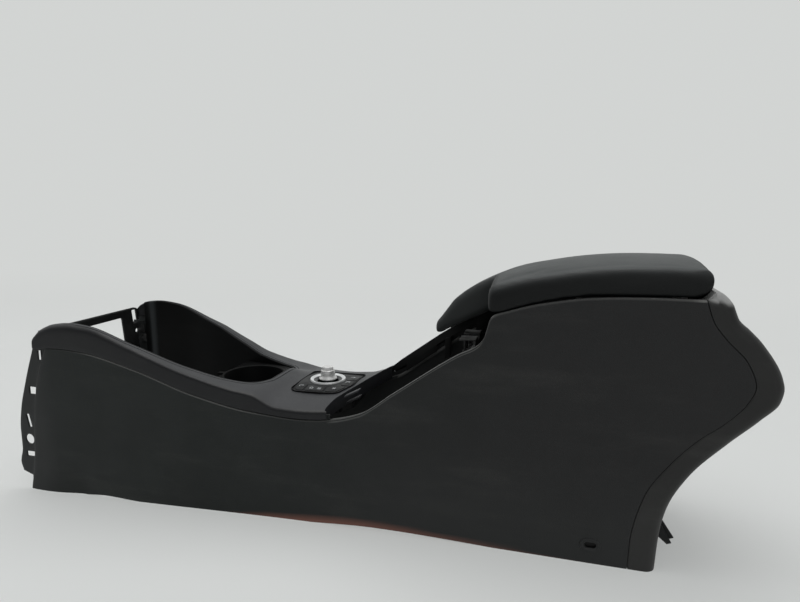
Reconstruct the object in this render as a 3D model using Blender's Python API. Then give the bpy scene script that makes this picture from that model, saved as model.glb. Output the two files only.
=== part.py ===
"""Centre console of a passenger car: two side panels, a top trim with an open bay for the gear
lever, a cup holder, a rotary controller, an open handbrake ramp, a storage box under a padded
armrest that hinges up, and a rear cover.

Sizes are in millimetres. A station is a distance back from the front edge of the console.
X runs backwards along the car, Y to the passenger side, Z up from the floor.
"""
import math

import bmesh
import bpy
import numpy as np
from mathutils import Matrix, Vector

MM = 0.001

# Lengths along the console, front to rear
TRIM_SETBACK = 42.0
BAY_LENGTH = 332.0
DECK_LENGTH = 101.0
RAMP_LENGTH = 200.0
BOX_LENGTH = 222.0
REAR_BULGE = 78.0

# Stations that follow from them
TRIM_FRONT = TRIM_SETBACK
BAY_END = TRIM_FRONT + BAY_LENGTH
DECK_END = BAY_END + DECK_LENGTH
BOX_FRONT = DECK_END + RAMP_LENGTH
BOX_REAR = BOX_FRONT + BOX_LENGTH
LENGTH = BOX_REAR + REAR_BULGE

# Half widths and heights
HALF_FRONT = 110.0
HALF_DECK = 95.0
HALF_REAR = 98.0
RIM_HEIGHT = 249.0
DECK_HEIGHT = 151.0
DECK_CROWN = 12.0
SHOULDER_HEIGHT = 309.0
TUMBLEHOME = 3.0

# Walls and gaps
PANEL_WALL = 2.5
TRIM_WALL = 2.2
LINER_WALL = 3.0
INNER_WALL = 2.5
CLEARANCE = 0.4
CURTAIN_DEPTH = 18.0
PIN_GAP = 0.15
SEAM_GAP = 0.8

# Front flange that tucks under the dashboard
FLANGE_FOOT_HEIGHT = 24.0
FLANGE_INSET = 3.0
FLANGE_FOOT_REACH = 21.0

# Feet and screw points
FOOT_FLARE = 4.0
FOOT_DENT = 3.5
LUG_STATION = 74.0
LUG_SIZE = (26.0, 22.0, 3.0)
LUG_HOLE = 3.5
SCREW_STATION = 795.0
SCREW_HEIGHT = 25.5
SCREW_BOSS = (23.0, 15.0)
SCREW_SLOT = (13.0, 6.5)

# Bay, cup holder and controller
BAY_HALF_FRONT = 99.0
BAY_HALF_REAR = 66.0
BAY_CORNER = 30.0
FAR_DROP = 10.0
LINER_FOOT = 128.0
CUP_RADIUS = 42.0
CUP_DEPTH = 68.0
CUP_TAPER = 4.0
CUP_SETBACK = 50.0
CUP_SINK = 7.0
CUP_APRON = 52.0
DIAL_STATION = DECK_END - 37.0
DIAL_OFFSET = 4.0
PLATE_LENGTH = 79.0
PLATE_WIDTH = 92.0
PLATE_CORNER = 13.0
PLATE_PROUD = 1.6
PLATE_THICK = 3.0
RING_RADIUS = 25.0
RING_WIDTH = 4.6
KNOB_RADIUS = 12.5
KNOB_NECK = 9.6
KNOB_CAP = 7.6
KNOB_HEIGHT = 19.0
TILT_PIVOT_DEPTH = 15.0
KEY_TRAVEL = 1.2
HOUSING_DEPTH = 31.0

# Ramp rail and the bracket at the top of the ramp
RAIL_WIDTH = 12.0
RAIL_SKIRT = 16.0
BRACKET_SETBACK = 28.0

# Storage box, hinge and armrest
BOX_HALF = 80.0
BOX_DEPTH = 150.0
LIP_WIDTH = 8.0
LIP_DROP = 4.0
PAD_LIFT = 4.5
PAD_TOP = 351.0
PAD_CROWN = 9.0
ROLL_REACH = 1.06
HORN_LENGTH = 82.0
HORN_SIDE = -4.0
BASE_WALL = 3.0
HINGE_SETBACK = 14.0
HINGE_HEIGHT = 331.0
HINGE_PIN_RADIUS = 3.0
HINGE_HALF = 27.0
EAR_THICK = 4.0
EAR_RADIUS = 8.0
NOTCH_HALF = 34.0

# Rear cover
COVER_EDGE = 12.0
NOTCH_WIDTH = 150.0
NOTCH_HEIGHT = 66.0
PRONG_OFFSET = 50.0
PRONG_PITCH = 5.5
PRONG_THICK = 3.0


# Shape tools

def curve(points, at):
    """Value at a station of a monotone cubic through (station, value) points."""
    xs, ys = np.array(points, float).T
    steps = np.diff(xs)
    slopes = np.diff(ys) / steps
    tangents = np.zeros(len(xs))
    tangents[0], tangents[-1] = slopes[0], slopes[-1]
    for i in range(1, len(xs) - 1):
        before, after = slopes[i - 1], slopes[i]
        if before * after > 0:
            w1 = 2 * steps[i] + steps[i - 1]
            w2 = steps[i] + 2 * steps[i - 1]
            tangents[i] = (w1 + w2) / (w1 / before + w2 / after)
    at = np.clip(np.asarray(at, float), xs[0], xs[-1])
    i = np.clip(np.searchsorted(xs, at) - 1, 0, len(xs) - 2)
    t = (at - xs[i]) / steps[i]
    return (
        ys[i] * (1 + 2 * t) * (1 - t) ** 2
        + tangents[i] * steps[i] * t * (1 - t) ** 2
        + ys[i + 1] * t * t * (3 - 2 * t)
        + tangents[i + 1] * steps[i] * t * t * (t - 1)
    )


def spread(points, count):
    """count points at even distances along a smooth line through the given points."""
    points = np.array(points, float)
    chords = np.r_[0, np.cumsum(np.linalg.norm(np.diff(points, axis=0), axis=1))]
    fine = np.linspace(0, chords[-1], 40 * count)
    line = np.stack([curve(list(zip(chords, p)), fine) for p in points.T], -1)
    run = np.r_[0, np.cumsum(np.linalg.norm(np.diff(line, axis=0), axis=1))]
    even = np.linspace(0, run[-1], count)
    return np.stack([np.interp(even, run, p) for p in line.T], -1)


def rounded(corners, radius, steps=4):
    """Outline with each corner replaced by an arc of the radius, or of its own radius."""
    outline = []
    radii = radius if isinstance(radius, (list, tuple)) else [radius] * len(corners)
    for i, r in enumerate(radii):
        here = Vector(corners[i])
        back = (Vector(corners[i - 1]) - here).normalized()
        ahead = (Vector(corners[(i + 1) % len(corners)]) - here).normalized()
        if r <= 0:
            outline.append(tuple(here))
            continue
        half = back.angle(ahead) / 2
        centre = here + (back + ahead).normalized() * (r / math.sin(half))
        start = here + back * (r / math.tan(half)) - centre
        sweep = math.pi - 2 * half
        turn = 1 if back.x * ahead.y - back.y * ahead.x < 0 else -1
        for k in range(steps + 1):
            a = turn * sweep * k / steps
            c, s = math.cos(a), math.sin(a)
            outline.append((centre.x + c * start.x - s * start.y, centre.y + s * start.x + c * start.y))
    return outline


def rectangle(x0, y0, x1, y1, radius=0.0):
    return rounded([(x0, y0), (x1, y0), (x1, y1), (x0, y1)], radius)


def circle(x, y, radius, steps=24):
    return [
        (x + radius * math.cos(2 * math.pi * k / steps), y + radius * math.sin(2 * math.pi * k / steps))
        for k in range(steps)
    ]


# Object tools

def clear_scene():
    for old in list(bpy.data.objects):
        bpy.data.objects.remove(old, do_unlink=True)


def material(name, colour, roughness, metallic=0.0, alpha=1.0):
    made = bpy.data.materials.new(name)
    made.use_nodes = True
    shader = made.node_tree.nodes["Principled BSDF"]
    shader.inputs["Base Color"].default_value = (*colour, 1.0)
    shader.inputs["Roughness"].default_value = roughness
    shader.inputs["Metallic"].default_value = metallic
    shader.inputs["Alpha"].default_value = alpha
    return made


def world(point):
    """Metres in the console's frame from (station, across, height)."""
    return Vector(((point[0] - LENGTH / 2) * MM, point[1] * MM, point[2] * MM))


def make(name, points, faces, finish, pivot=None, smooth=40.0):
    """An object of the points, with its origin at the pivot where it has one."""
    origin = pivot.matrix_world.translation if pivot else Vector()
    mesh = bpy.data.meshes.new(name)
    mesh.from_pydata([world(p) - origin for p in points], [], faces)
    tidy = bmesh.new()
    tidy.from_mesh(mesh)
    bmesh.ops.remove_doubles(tidy, verts=tidy.verts, dist=1e-6)
    tidy.to_mesh(mesh)
    tidy.free()
    mesh.shade_smooth()
    mesh.set_sharp_from_angle(angle=math.radians(smooth))
    made = bpy.data.objects.new(name, mesh)
    bpy.context.scene.collection.objects.link(made)
    if finish:
        mesh.materials.append(finish)
    if pivot:
        made.parent = pivot
    return made


def axis_empty(name, point, parent=None):
    """An empty on a joint's axis, which carries what turns or slides there."""
    made = bpy.data.objects.new(name, None)
    bpy.context.scene.collection.objects.link(made)
    made.empty_display_size = 0.02
    made.location = world(point)
    if parent:
        made.parent = parent
        made.location = made.location - parent.matrix_world.translation
    bpy.context.view_layer.update()
    return made


def sheet(name, grid, wall, finish, pivot=None):
    """A skin over a grid of points, given its wall on the inner side."""
    rows, columns = grid.shape[:2]
    faces = [
        (i * columns + j, (i + 1) * columns + j, (i + 1) * columns + j + 1, i * columns + j + 1)
        for i in range(rows - 1)
        for j in range(columns - 1)
    ]
    made = make(name, grid.reshape(-1, 3), faces, finish, pivot)
    shell = made.modifiers.new("Wall", "SOLIDIFY")
    shell.thickness = wall * MM
    shell.offset = -1
    shell.use_even_offset = True
    shell.use_quality_normals = True
    return made


def tube_of_rings(name, rings, finish, pivot=None, closed=False):
    """A closed body lofted through rings of points, capped at both ends unless it closes on itself."""
    rings = np.array(rings, float)
    count, size = rings.shape[:2]
    faces = []
    for i in range(count if closed else count - 1):
        k = (i + 1) % count
        for j in range(size):
            n = (j + 1) % size
            faces.append((i * size + j, i * size + n, k * size + n, k * size + j))
    if not closed:
        faces.append(tuple(range(size))[::-1])
        faces.append(tuple((count - 1) * size + j for j in range(size)))
    made = make(name, rings.reshape(-1, 3), faces, finish, pivot)
    face_out(made)
    return made


def face_out(made):
    tidy = bmesh.new()
    tidy.from_mesh(made.data)
    bmesh.ops.recalc_face_normals(tidy, faces=tidy.faces)
    tidy.to_mesh(made.data)
    tidy.free()


def prism(name, outline, along, low, high, finish=None, pivot=None):
    """An outline carried straight along one axis. Outlines lie in the other two axes, in X, Y, Z order."""
    def point(p, level):
        values = list(p)
        values.insert("XYZ".index(along), level)
        return values
    rings = [[point(p, level) for p in outline] for level in (low, high)]
    return tube_of_rings(name, rings, finish, pivot)


def box(name, low, high, finish=None, pivot=None):
    return prism(name, rectangle(low[0], low[1], high[0], high[1]), "Z", low[2], high[2], finish, pivot)


def turned(name, profile, centre, steps, finish=None, pivot=None):
    """A turned body from a closed profile of (radius, height) about a vertical axis."""
    rings = []
    for k in range(steps):
        a = 2 * math.pi * k / steps
        rings.append([(centre[0] + r * math.cos(a), centre[1] + r * math.sin(a), z) for r, z in profile])
    count, size = steps, len(profile)
    faces = []
    for i in range(count):
        for j in range(size):
            quad = [i * size + j, ((i + 1) % count) * size + j, ((i + 1) % count) * size + (j + 1) % size,
                    i * size + (j + 1) % size]
            radii = [profile[j][0], profile[(j + 1) % size][0]]
            if max(radii) > 0:
                faces.append(tuple(quad))
    made = make(name, np.array(rings).reshape(-1, 3), faces, finish, pivot)
    tidy = bmesh.new()
    tidy.from_mesh(made.data)
    bmesh.ops.dissolve_degenerate(tidy, dist=1e-7, edges=tidy.edges)
    bmesh.ops.recalc_face_normals(tidy, faces=tidy.faces)
    tidy.to_mesh(made.data)
    tidy.free()
    made.data.set_sharp_from_angle(angle=math.radians(40))
    return made


def rod(name, low, high, radius, along, steps=12, finish=None, pivot=None):
    """A round bar along X or Y between two points."""
    rings = []
    for end in (low, high):
        ring = []
        for k in range(steps):
            u, v = radius * math.cos(2 * math.pi * k / steps), radius * math.sin(2 * math.pi * k / steps)
            offset = (0, u, v) if along == "X" else (u, 0, v)
            ring.append([end[i] + offset[i] for i in range(3)])
        rings.append(ring)
    return tube_of_rings(name, rings, finish, pivot)


def helper(made):
    """Keeps a cutter or a joined shape out of the model."""
    made.hide_render = True
    made.display_type = "WIRE"
    made.hide_set(True)
    return made


def combine(target, other, operation):
    step = target.modifiers.new(other.name, "BOOLEAN")
    step.operation = operation
    step.solver = "EXACT"
    step.object = helper(other)
    return target


def cut(target, *cutters):
    for cutter in cutters:
        combine(target, cutter, "DIFFERENCE")
    return target


def join(target, *others):
    for other in others:
        combine(target, other, "UNION")
    return target


# Outer form of the console

WIDTH_LINE = [
    (0, HALF_FRONT),
    (TRIM_FRONT + 80, HALF_FRONT - 1),
    (DECK_END - 20, HALF_DECK),
    (DECK_END + 120, HALF_DECK - 2),
    (BOX_REAR, HALF_REAR),
    (LENGTH, HALF_REAR - 2),
]

RIM_DROP = RIM_HEIGHT - DECK_HEIGHT
CREST_LINE = [
    (TRIM_FRONT - 1, RIM_HEIGHT - 21),
    (TRIM_FRONT + 13, RIM_HEIGHT - 9),
    (TRIM_FRONT + 34, RIM_HEIGHT - 2),
    (TRIM_FRONT + 58, RIM_HEIGHT),
    (TRIM_FRONT + 88, RIM_HEIGHT - 0.03 * RIM_DROP),
    (BAY_END - 179, DECK_HEIGHT + 0.725 * RIM_DROP),
    (BAY_END - 104, DECK_HEIGHT + 0.43 * RIM_DROP),
    (BAY_END - 31, DECK_HEIGHT + 0.225 * RIM_DROP),
    (BAY_END - 2, DECK_HEIGHT + 0.17 * RIM_DROP),
    (BAY_END + 31, DECK_HEIGHT + 1.5),
    (BAY_END + 62, DECK_HEIGHT),
    (DECK_END, DECK_HEIGHT + 2.5),
    (DECK_END + 25, DECK_HEIGHT + 10),
    (DECK_END + 60, DECK_HEIGHT + 34),
]

SEAM_DROP = RIM_HEIGHT - DECK_HEIGHT - 26
PANEL_TOP_LINE = [
    (TRIM_FRONT - 2, DECK_HEIGHT + 60),
    (TRIM_FRONT + 43, DECK_HEIGHT + 62),
    (TRIM_FRONT + 81, DECK_HEIGHT + 59.5),
    (TRIM_FRONT + 163, DECK_HEIGHT + 40),
    (BAY_END - 85, DECK_HEIGHT + 11.5),
    (BAY_END - 3, DECK_HEIGHT - 6),
    (BAY_END + 66, DECK_HEIGHT - 11),
    (DECK_END, DECK_HEIGHT - 8.5),
    (DECK_END + 41, DECK_HEIGHT + 2),
    (DECK_END + 85, DECK_HEIGHT + 32),
    (BOX_FRONT - 36, SHOULDER_HEIGHT - 72.5),
    (BOX_FRONT - 12, SHOULDER_HEIGHT - 59),
    (BOX_FRONT - 3, SHOULDER_HEIGHT - 46),
    (BOX_FRONT + 3, SHOULDER_HEIGHT - 31),
    (BOX_FRONT + 32, SHOULDER_HEIGHT - 18.5),
    (BOX_FRONT + 60, SHOULDER_HEIGHT - 10.5),
    (BOX_FRONT + 110, SHOULDER_HEIGHT - 3),
    (BOX_REAR - 2, SHOULDER_HEIGHT),
]

FLOOR_LINE = [
    (FLANGE_FOOT_REACH, 2.5),
    (60, 1.0),
    (92, 1.0),
    (144, 6.0),
    (200, 3.0),
    (262, 0.0),
    (320, 0.0),
    (400, 1.0),
    (534, 6.5),
    (640, 4.5),
    (735, 1.5),
    (800, 0.0),
    (LENGTH, 0.0),
]

CREASE = [(FLANGE_FOOT_REACH, 2.5), (29, 40), (37, 112), (48, 170), (TRIM_FRONT + 24, DECK_HEIGHT + 61)]
FLANGE_EDGE = [(4, 2.5), (4, 24), (0, 40), (5, 62), (5, 89), (9, 118), (23, 165), (TRIM_FRONT - 2, DECK_HEIGHT + 61)]

SEAM_FOOT = BOX_REAR - 62
SEAM_POINTS = 24
REAR_SEAM = [
    (SEAM_FOOT, 0),
    (SEAM_FOOT + 1, 35),
    (SEAM_FOOT + 13, 92),
    (SEAM_FOOT + 33, 127),
    (SEAM_FOOT + 64, 163.5),
    (SEAM_FOOT + 87, 183),
    (LENGTH - 33, 207),
    (LENGTH - 27, 223),
    (LENGTH - 36, 247.5),
    (LENGTH - 58, 271.5),
    (BOX_REAR + 7, SHOULDER_HEIGHT - 20),
    (BOX_REAR - 1, SHOULDER_HEIGHT),
]
REAR_CONTOUR = [
    (SEAM_FOOT + 30, 0),
    (SEAM_FOOT + 33, 48),
    (SEAM_FOOT + 39, 78),
    (SEAM_FOOT + 59, 118),
    (SEAM_FOOT + 94, 158),
    (LENGTH - 19, 186),
    (LENGTH - 2, 208),
    (LENGTH, 221),
    (LENGTH - 2, 232),
    (LENGTH - 24, 268),
    (BOX_REAR + 28.5, SHOULDER_HEIGHT - 13),
    (BOX_REAR + 20, SHOULDER_HEIGHT + 1),
    (BOX_REAR + 13, SHOULDER_HEIGHT + 7),
    (BOX_REAR + 3, SHOULDER_HEIGHT + 9),
]


def half_width(station, height=0.0):
    """Half width of the outer skin, with the foot's flare and dent."""
    foot = FOOT_FLARE * np.exp(-(((station - 48) / 40) ** 2) - (height / 34) ** 2)
    dent = FOOT_DENT * np.exp(-(((station - 106) / 20) ** 2) - ((height - 18) / 26) ** 2)
    lean = TUMBLEHOME * (height / SHOULDER_HEIGHT) ** 2
    return curve(WIDTH_LINE, station) - lean + foot - dent


def crest(station):
    return curve(CREST_LINE, station)


def far_drop(station, across):
    """How much lower the passenger's side of the trim runs beside the bay's rear half."""
    low = curve([(BAY_END - 154, 0), (BAY_END - 108, FAR_DROP / 2), (BAY_END - 74, FAR_DROP), (BAY_END - 4, FAR_DROP),
                 (BAY_END + 28, 0)], station)
    share = np.clip((across - 10) / (BAY_HALF_REAR - 16), 0, 1)
    return low * share * share * (3 - 2 * share)


def panel_top(station):
    return curve(PANEL_TOP_LINE, station)


def crown(station):
    """How far the middle of the deck stands above its edge."""
    return curve([(BAY_END - 60, 0), (BAY_END, 6), (BAY_END + 31, DECK_CROWN + 1), (DECK_END, DECK_CROWN),
                  (DECK_END + 40, DECK_CROWN - 4)], station)


def deck(station, across):
    """Height of the trim's top surface."""
    share = np.clip(np.abs(across) / half_width(station, crest(station)), 0, 1)
    return crest(station) + crown(station) * (1 - share ** 2) - far_drop(station, across)


def beside(line, by):
    """The line moved sideways by a distance, to the left of its run."""
    ahead = np.gradient(line, axis=0)
    ahead /= np.linalg.norm(ahead, axis=1)[:, None]
    return line + by * np.stack([-ahead[:, 1], ahead[:, 0]], -1)


def bay_outline(inward=0.0, count=36):
    """Plan of the bay's edge from the driver's front corner round the rear to the passenger's."""
    side = [
        (TRIM_FRONT - 6, BAY_HALF_FRONT + 6),
        (TRIM_FRONT + 18, BAY_HALF_FRONT + 4),
        (TRIM_FRONT + 43, BAY_HALF_FRONT),
        (TRIM_FRONT + 108, BAY_HALF_FRONT - 2.5),
        (BAY_END - 164, BAY_HALF_FRONT - 10),
        (BAY_END - 84, BAY_HALF_REAR + 11),
        (BAY_END - BAY_CORNER, BAY_HALF_REAR),
    ]
    corner = [
        (BAY_END - BAY_CORNER + BAY_CORNER * math.sin(a), BAY_HALF_REAR - 44 + 44 * math.cos(a))
        for a in np.radians([25, 50, 75])
    ]
    half = [(s, -y) for s, y in side + corner] + [(BAY_END, 0)]
    return beside(spread(half + [(s, -y) for s, y in reversed(half[:-1])], count), inward)


def mirrored(grid):
    """The same skin for the passenger side."""
    other = grid.copy()
    other[..., 1] *= -1
    return other[:, ::-1]


# Side panels

def along(points, shares):
    """Points at the given shares of the way along a smooth line."""
    fine = spread(points, 60)
    return np.stack([np.interp(shares, np.linspace(0, 1, 60), p) for p in fine.T], -1)


def panel_grid():
    """Driver's side skin: columns run back along the panel, rows run up from the floor edge."""
    start = CREASE[-1][0]
    top_s = np.r_[
        np.linspace(start, start + 94, 8),
        np.linspace(start + 94, BAY_END, 10)[1:],
        np.linspace(BAY_END, DECK_END, 5)[1:],
        np.linspace(DECK_END, BOX_FRONT - 15, 11)[1:],
        BOX_FRONT + np.array([-8, -3, 0, 3, 8, 16]),
        np.linspace(BOX_FRONT + 32, REAR_SEAM[-1][0] + 7, 9),
    ]
    u = (top_s - top_s[0]) / (top_s[-1] - top_s[0])
    v = np.array([0, 0.06, 0.12, 0.175, 0.26, 0.36, 0.47, 0.57, 0.64, 0.71, 0.80, 0.88, 0.94, 1.0])
    bottom_s = FLANGE_FOOT_REACH + u * (SEAM_FOOT + 7 - FLANGE_FOOT_REACH)
    bottom = np.stack([bottom_s, curve(FLOOR_LINE, bottom_s)], -1)
    top = np.stack([top_s, panel_top(top_s)], -1)
    reach = np.minimum(75, np.minimum(top_s - top_s[0], top_s[-1] - top_s))
    calm = top.copy()
    calm[:, 1] = np.mean([panel_top(top_s + reach * share) for share in np.linspace(-1, 1, 9)], axis=0)
    front = along(CREASE, v)
    rear = along([(s + 7, z) for s, z in REAR_SEAM], v)
    u, v = u[:, None, None], v[None, :, None]
    flat = (
        (1 - v) * bottom[:, None] + v * calm[:, None] + (1 - u) * front[None] + u * rear[None]
        - (1 - u) * (1 - v) * bottom[0] - u * (1 - v) * bottom[-1]
        - (1 - u) * v * top[0] - u * v * top[-1] + v ** 5 * (top - calm)[:, None]
    )
    flange = along(FLANGE_EDGE, v[0, :, 0])
    flat = np.concatenate([np.array([flange + (flat[0] - flange) * share for share in (0.0, 0.45, 0.84)]), flat])
    across = half_width(flat[..., 0], flat[..., 1])
    across[:3] -= FLANGE_INSET
    return np.stack([flat[..., 0], -across, flat[..., 1]], -1)


def walled(name, grid, shift, finish):
    """A closed body between a grid of points and the same grid moved by the shift."""
    rows, columns = grid.shape[:2]
    size = rows * columns
    points = np.concatenate([grid.reshape(-1, 3), (grid + np.array(shift)).reshape(-1, 3)])
    faces = []
    for i in range(rows - 1):
        for j in range(columns - 1):
            a, b, c, d = (i * columns + j, (i + 1) * columns + j, (i + 1) * columns + j + 1, i * columns + j + 1)
            faces += [(a, b, c, d), (size + d, size + c, size + b, size + a)]
    rim = [(i, 0) for i in range(rows)] + [(rows - 1, j) for j in range(1, columns)]
    rim += [(i, columns - 1) for i in range(rows - 2, -1, -1)] + [(0, j) for j in range(columns - 2, 0, -1)]
    rim = [i * columns + j for i, j in rim]
    faces += [(b, a, size + a, size + b) for a, b in zip(rim, rim[1:] + rim[:1])]
    made = make(name, points, faces, finish)
    face_out(made)
    return made


def edge_strip(name, side, stations, section):
    """A strip along the panel's top edge, its section given as (inward, above the edge) points."""
    rings = []
    for s in stations:
        top = float(panel_top(s))
        outer = float(half_width(s, top))
        rings.append([(s, side * (outer - inward), top + up) for inward, up in section])
    return tube_of_rings(name, rings, None)


def panel_edges(name, side):
    """The tongue that stands behind the trim's skirt, and the turned-in lip along the ramp and the box."""
    behind = TRIM_WALL + CLEARANCE + 0.4
    tongue = [(1.0, -7), (behind + 2.2, -7), (behind + 2.2, 6.5), (behind, 6.5), (behind, -0.8), (1.0, -0.8)]
    front = np.r_[np.linspace(CREASE[-1][0] + 6, BAY_END, 9), np.linspace(BAY_END, DECK_END + 4, 4)[1:]]
    lip = [(1.0, -2.8), (LIP_WIDTH - 2.2, -2.8), (LIP_WIDTH - 2.2, -1.0 - LIP_DROP), (LIP_WIDTH, -1.0 - LIP_DROP),
           (LIP_WIDTH, -0.3), (1.0, -0.3)]
    rear = np.r_[np.linspace(DECK_END + 6, BOX_FRONT - 15, 10), BOX_FRONT + np.array([-8, -3, 0, 3, 8, 16]),
                 np.linspace(BOX_FRONT + 32, BOX_REAR - 8, 8)]
    return [edge_strip(name + "_tongue", side, front, tongue), edge_strip(name + "_lip", side, rear, lip)]


def side_panel(name, side, finish):
    grid = panel_grid()
    if side > 0:
        grid = mirrored(grid)
    made = walled(name, grid, (0, -side * PANEL_WALL, 0), finish)
    join(made, foot_lug(name, side), *panel_edges(name, side))
    join(made, screw_boss(name, side))
    return cut(made, rear_of_seam(name), flange_holes(name, side), screw_slot(name, side))


def rear_of_seam(name):
    """Everything behind the seam with the rear cover."""
    seam = [tuple(p) for p in spread(REAR_SEAM, SEAM_POINTS)]
    foot, head = seam[0], seam[-1]
    outline = [(foot[0], -30)] + seam + [(head[0] - 2, SHOULDER_HEIGHT + 30), (LENGTH + 40, SHOULDER_HEIGHT + 30),
                                         (LENGTH + 40, -30)]
    return prism(name + "_rear", outline, "Y", -HALF_FRONT - 30, HALF_FRONT + 30)


def foot_lug(name, side):
    """Flat tab inside the front foot, with a hole for a screw into the floor."""
    length, reach, thick = LUG_SIZE
    outer = half_width(LUG_STATION, 4.0) - PANEL_WALL / 2
    low, high = sorted((side * outer, side * (outer - reach)))
    lug = prism(name + "_lug", rectangle(LUG_STATION - length / 2, low, LUG_STATION + length / 2, high), "Z",
                2.0, 2.0 + thick)
    return lug


def flange_holes(name, side):
    """Openings of the front flange: two upright slots, a square, a slanted slot and a round hole."""
    outlines = [
        rectangle(48, 195, 54, 209, 0.8),
        rectangle(27.5, 144.5, 38, 154.5, 0.8),
        rounded([(22, 94), (25, 95), (20.5, 114), (17.5, 113)], 1.2),
        circle(19.3, 76, 7.2, 16),
        rectangle(12, 50, 26, 56.5, 0.8),
    ]
    low, high = sorted((side * (HALF_FRONT - 25), side * (HALF_FRONT + 25)))
    cutters = [prism(f"{name}_hole_{i}", o, "Y", low, high) for i, o in enumerate(outlines)]
    notch = [(-20, -20), (FLANGE_FOOT_REACH - 0.4, -20), (FLANGE_FOOT_REACH - 0.4, FLANGE_FOOT_HEIGHT - 2),
             (0, FLANGE_FOOT_HEIGHT + 4), (-20, FLANGE_FOOT_HEIGHT + 8)]
    cutters.append(prism(name + "_notch", notch, "Y", low, high))
    lug_y = side * (half_width(LUG_STATION, 4.0) - LUG_SIZE[1] * 0.62)
    cutters.append(prism(name + "_lug_hole", circle(LUG_STATION, lug_y, LUG_HOLE, 24), "Z", -5, 12))
    whole = cutters[0]
    bodies = bmesh.new()
    for cutter in cutters:
        bodies.from_mesh(cutter.data)
    bodies.to_mesh(whole.data)
    bodies.free()
    for cutter in cutters[1:]:
        helper(cutter)
    return whole


def oval(station, height, length, tall, steps=5):
    return rounded([(station - length / 2, height - tall / 2), (station + length / 2, height - tall / 2),
                    (station + length / 2, height + tall / 2), (station - length / 2, height + tall / 2)],
                   tall / 2 - 0.01, steps)


def screw_boss(name, side):
    """Low oval pad round the screw slot."""
    low, high = sorted((side * (half_width(SCREW_STATION, SCREW_HEIGHT) - 1.2),
                        side * (half_width(SCREW_STATION, SCREW_HEIGHT) + 1.2)))
    return prism(name + "_boss", oval(SCREW_STATION, SCREW_HEIGHT, *SCREW_BOSS), "Y", low, high)


def screw_slot(name, side):
    low, high = sorted((side * (HALF_REAR - 14), side * (HALF_REAR + 12)))
    return prism(name + "_slot", oval(SCREW_STATION, SCREW_HEIGHT, *SCREW_SLOT), "Y", low, high)


# Front frame

def front_frame(finish):
    """Upright plate across the front: a crossbar on two legs, with a slot and a hole in each leg."""
    station = TRIM_FRONT + 3
    thick = 2.6
    top = crest(station) - 4
    foot = 92.0
    reach = []
    for height, tuck in ((foot, 1.0), (132.0, 1.0), (140.0, FLANGE_INSET + 1.0), (top - 10, FLANGE_INSET + 1.0)):
        reach.append((float(half_width(station, height)) - PANEL_WALL - tuck, height))
    outer = [(-y, z) for y, z in reach] + [(-reach[-1][0] + 8, top), (reach[-1][0] - 8, top)]
    outer += [(y, z) for y, z in reversed(reach)]
    plate = prism("front_frame", outer, "X", station, station + thick, finish)
    window_half = BAY_HALF_FRONT - 23
    bar_foot = top - 11
    window = rounded([(-window_half, foot - 20), (window_half, foot - 20), (window_half, bar_foot),
                      (-window_half, bar_foot)], [0, 0, 5, 5])
    cutters = [prism("frame_window", window, "X", station - 5, station + 10)]
    for side in (-1, 1):
        y = side * (BAY_HALF_FRONT - 5)
        slot = rounded([(y - 2.4, top - 24), (y + 2.4, top - 24), (y + 2.4, top - 5), (y - 2.4, top - 5)], 1.5)
        cutters.append(prism(f"frame_slot_{side}", slot, "X", station - 5, station + 10))
        cutters.append(prism(f"frame_hole_{side}", circle(y, top - 38, 3.2, 14), "X", station - 5, station + 10))
    return cut(plate, *cutters)


# Top trim

def trim_grid():
    """Skin of the trim: one row for each station, running from the driver's skirt over to the passenger's."""
    stations = np.r_[
        TRIM_FRONT, TRIM_FRONT + 6, TRIM_FRONT + 13, TRIM_FRONT + 22, TRIM_FRONT + 34, TRIM_FRONT + 46,
        np.arange(TRIM_FRONT + 60, BAY_END - 20, 17.5), np.linspace(BAY_END - 12, DECK_END + 6, 9),
        np.linspace(DECK_END + 16, DECK_END + 40, 3),
    ]
    rows = []
    for s in stations:
        radius = float(curve([(TRIM_FRONT, 9), (TRIM_FRONT + 150, 7), (BAY_END - 150, 3.5), (DECK_END, 3)], s))
        foot = panel_top(s) + SEAM_GAP
        outer = half_width(s, crest(s))
        halves = []
        for side in (-1, 1):
            top = crest(s) - far_drop(s, side * outer)
            section = [
                (half_width(s, foot), foot),
                (half_width(s, top - radius), top - radius),
                (outer - radius * 0.29, top - radius * 0.29),
            ]
            for share in (0.0, 0.18, 0.42, 0.70, 1.0):
                y = (outer - radius) * (1 - share)
                section.append((y, deck(s, side * y)))
            halves.append([(s, side * y, z) for y, z in section])
        rows.append(halves[0] + halves[1][-2::-1])
    return np.array(rows, float)


def deck_end_outline():
    """Plan of the deck's rear edge, which sweeps back towards the passenger side."""
    return [
        (DECK_END + 1, -HALF_DECK - 12),
        (DECK_END, -HALF_DECK + 1),
        (DECK_END - 5, -HALF_DECK + 7),
        (DECK_END - 2, -HALF_DECK + 32),
        (DECK_END + 5, -44),
        (DECK_END + 15, -20),
        (DECK_END + 21, 0),
        (DECK_END + 28, 30),
        (DECK_END + 33, 60),
        (DECK_END + 36, HALF_DECK - 8),
        (DECK_END + 36, HALF_DECK + 12),
    ]


def deck_curtain():
    """Wall turned down behind the deck's rear edge."""
    edge = spread(deck_end_outline(), 26)
    edge = edge[np.abs(edge[:, 1]) < HALF_DECK - LIP_WIDTH - 3]
    rings = []
    for outer, inner in zip(beside(edge, 0.6), beside(edge, 0.6 + TRIM_WALL)):
        top = float(deck(outer[0], outer[1])) - 1.0
        foot = top - CURTAIN_DEPTH
        rings.append([(*outer, foot), (*outer, top), (*inner, top), (*inner, foot)])
    return tube_of_rings("deck_curtain", rings, None)


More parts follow.
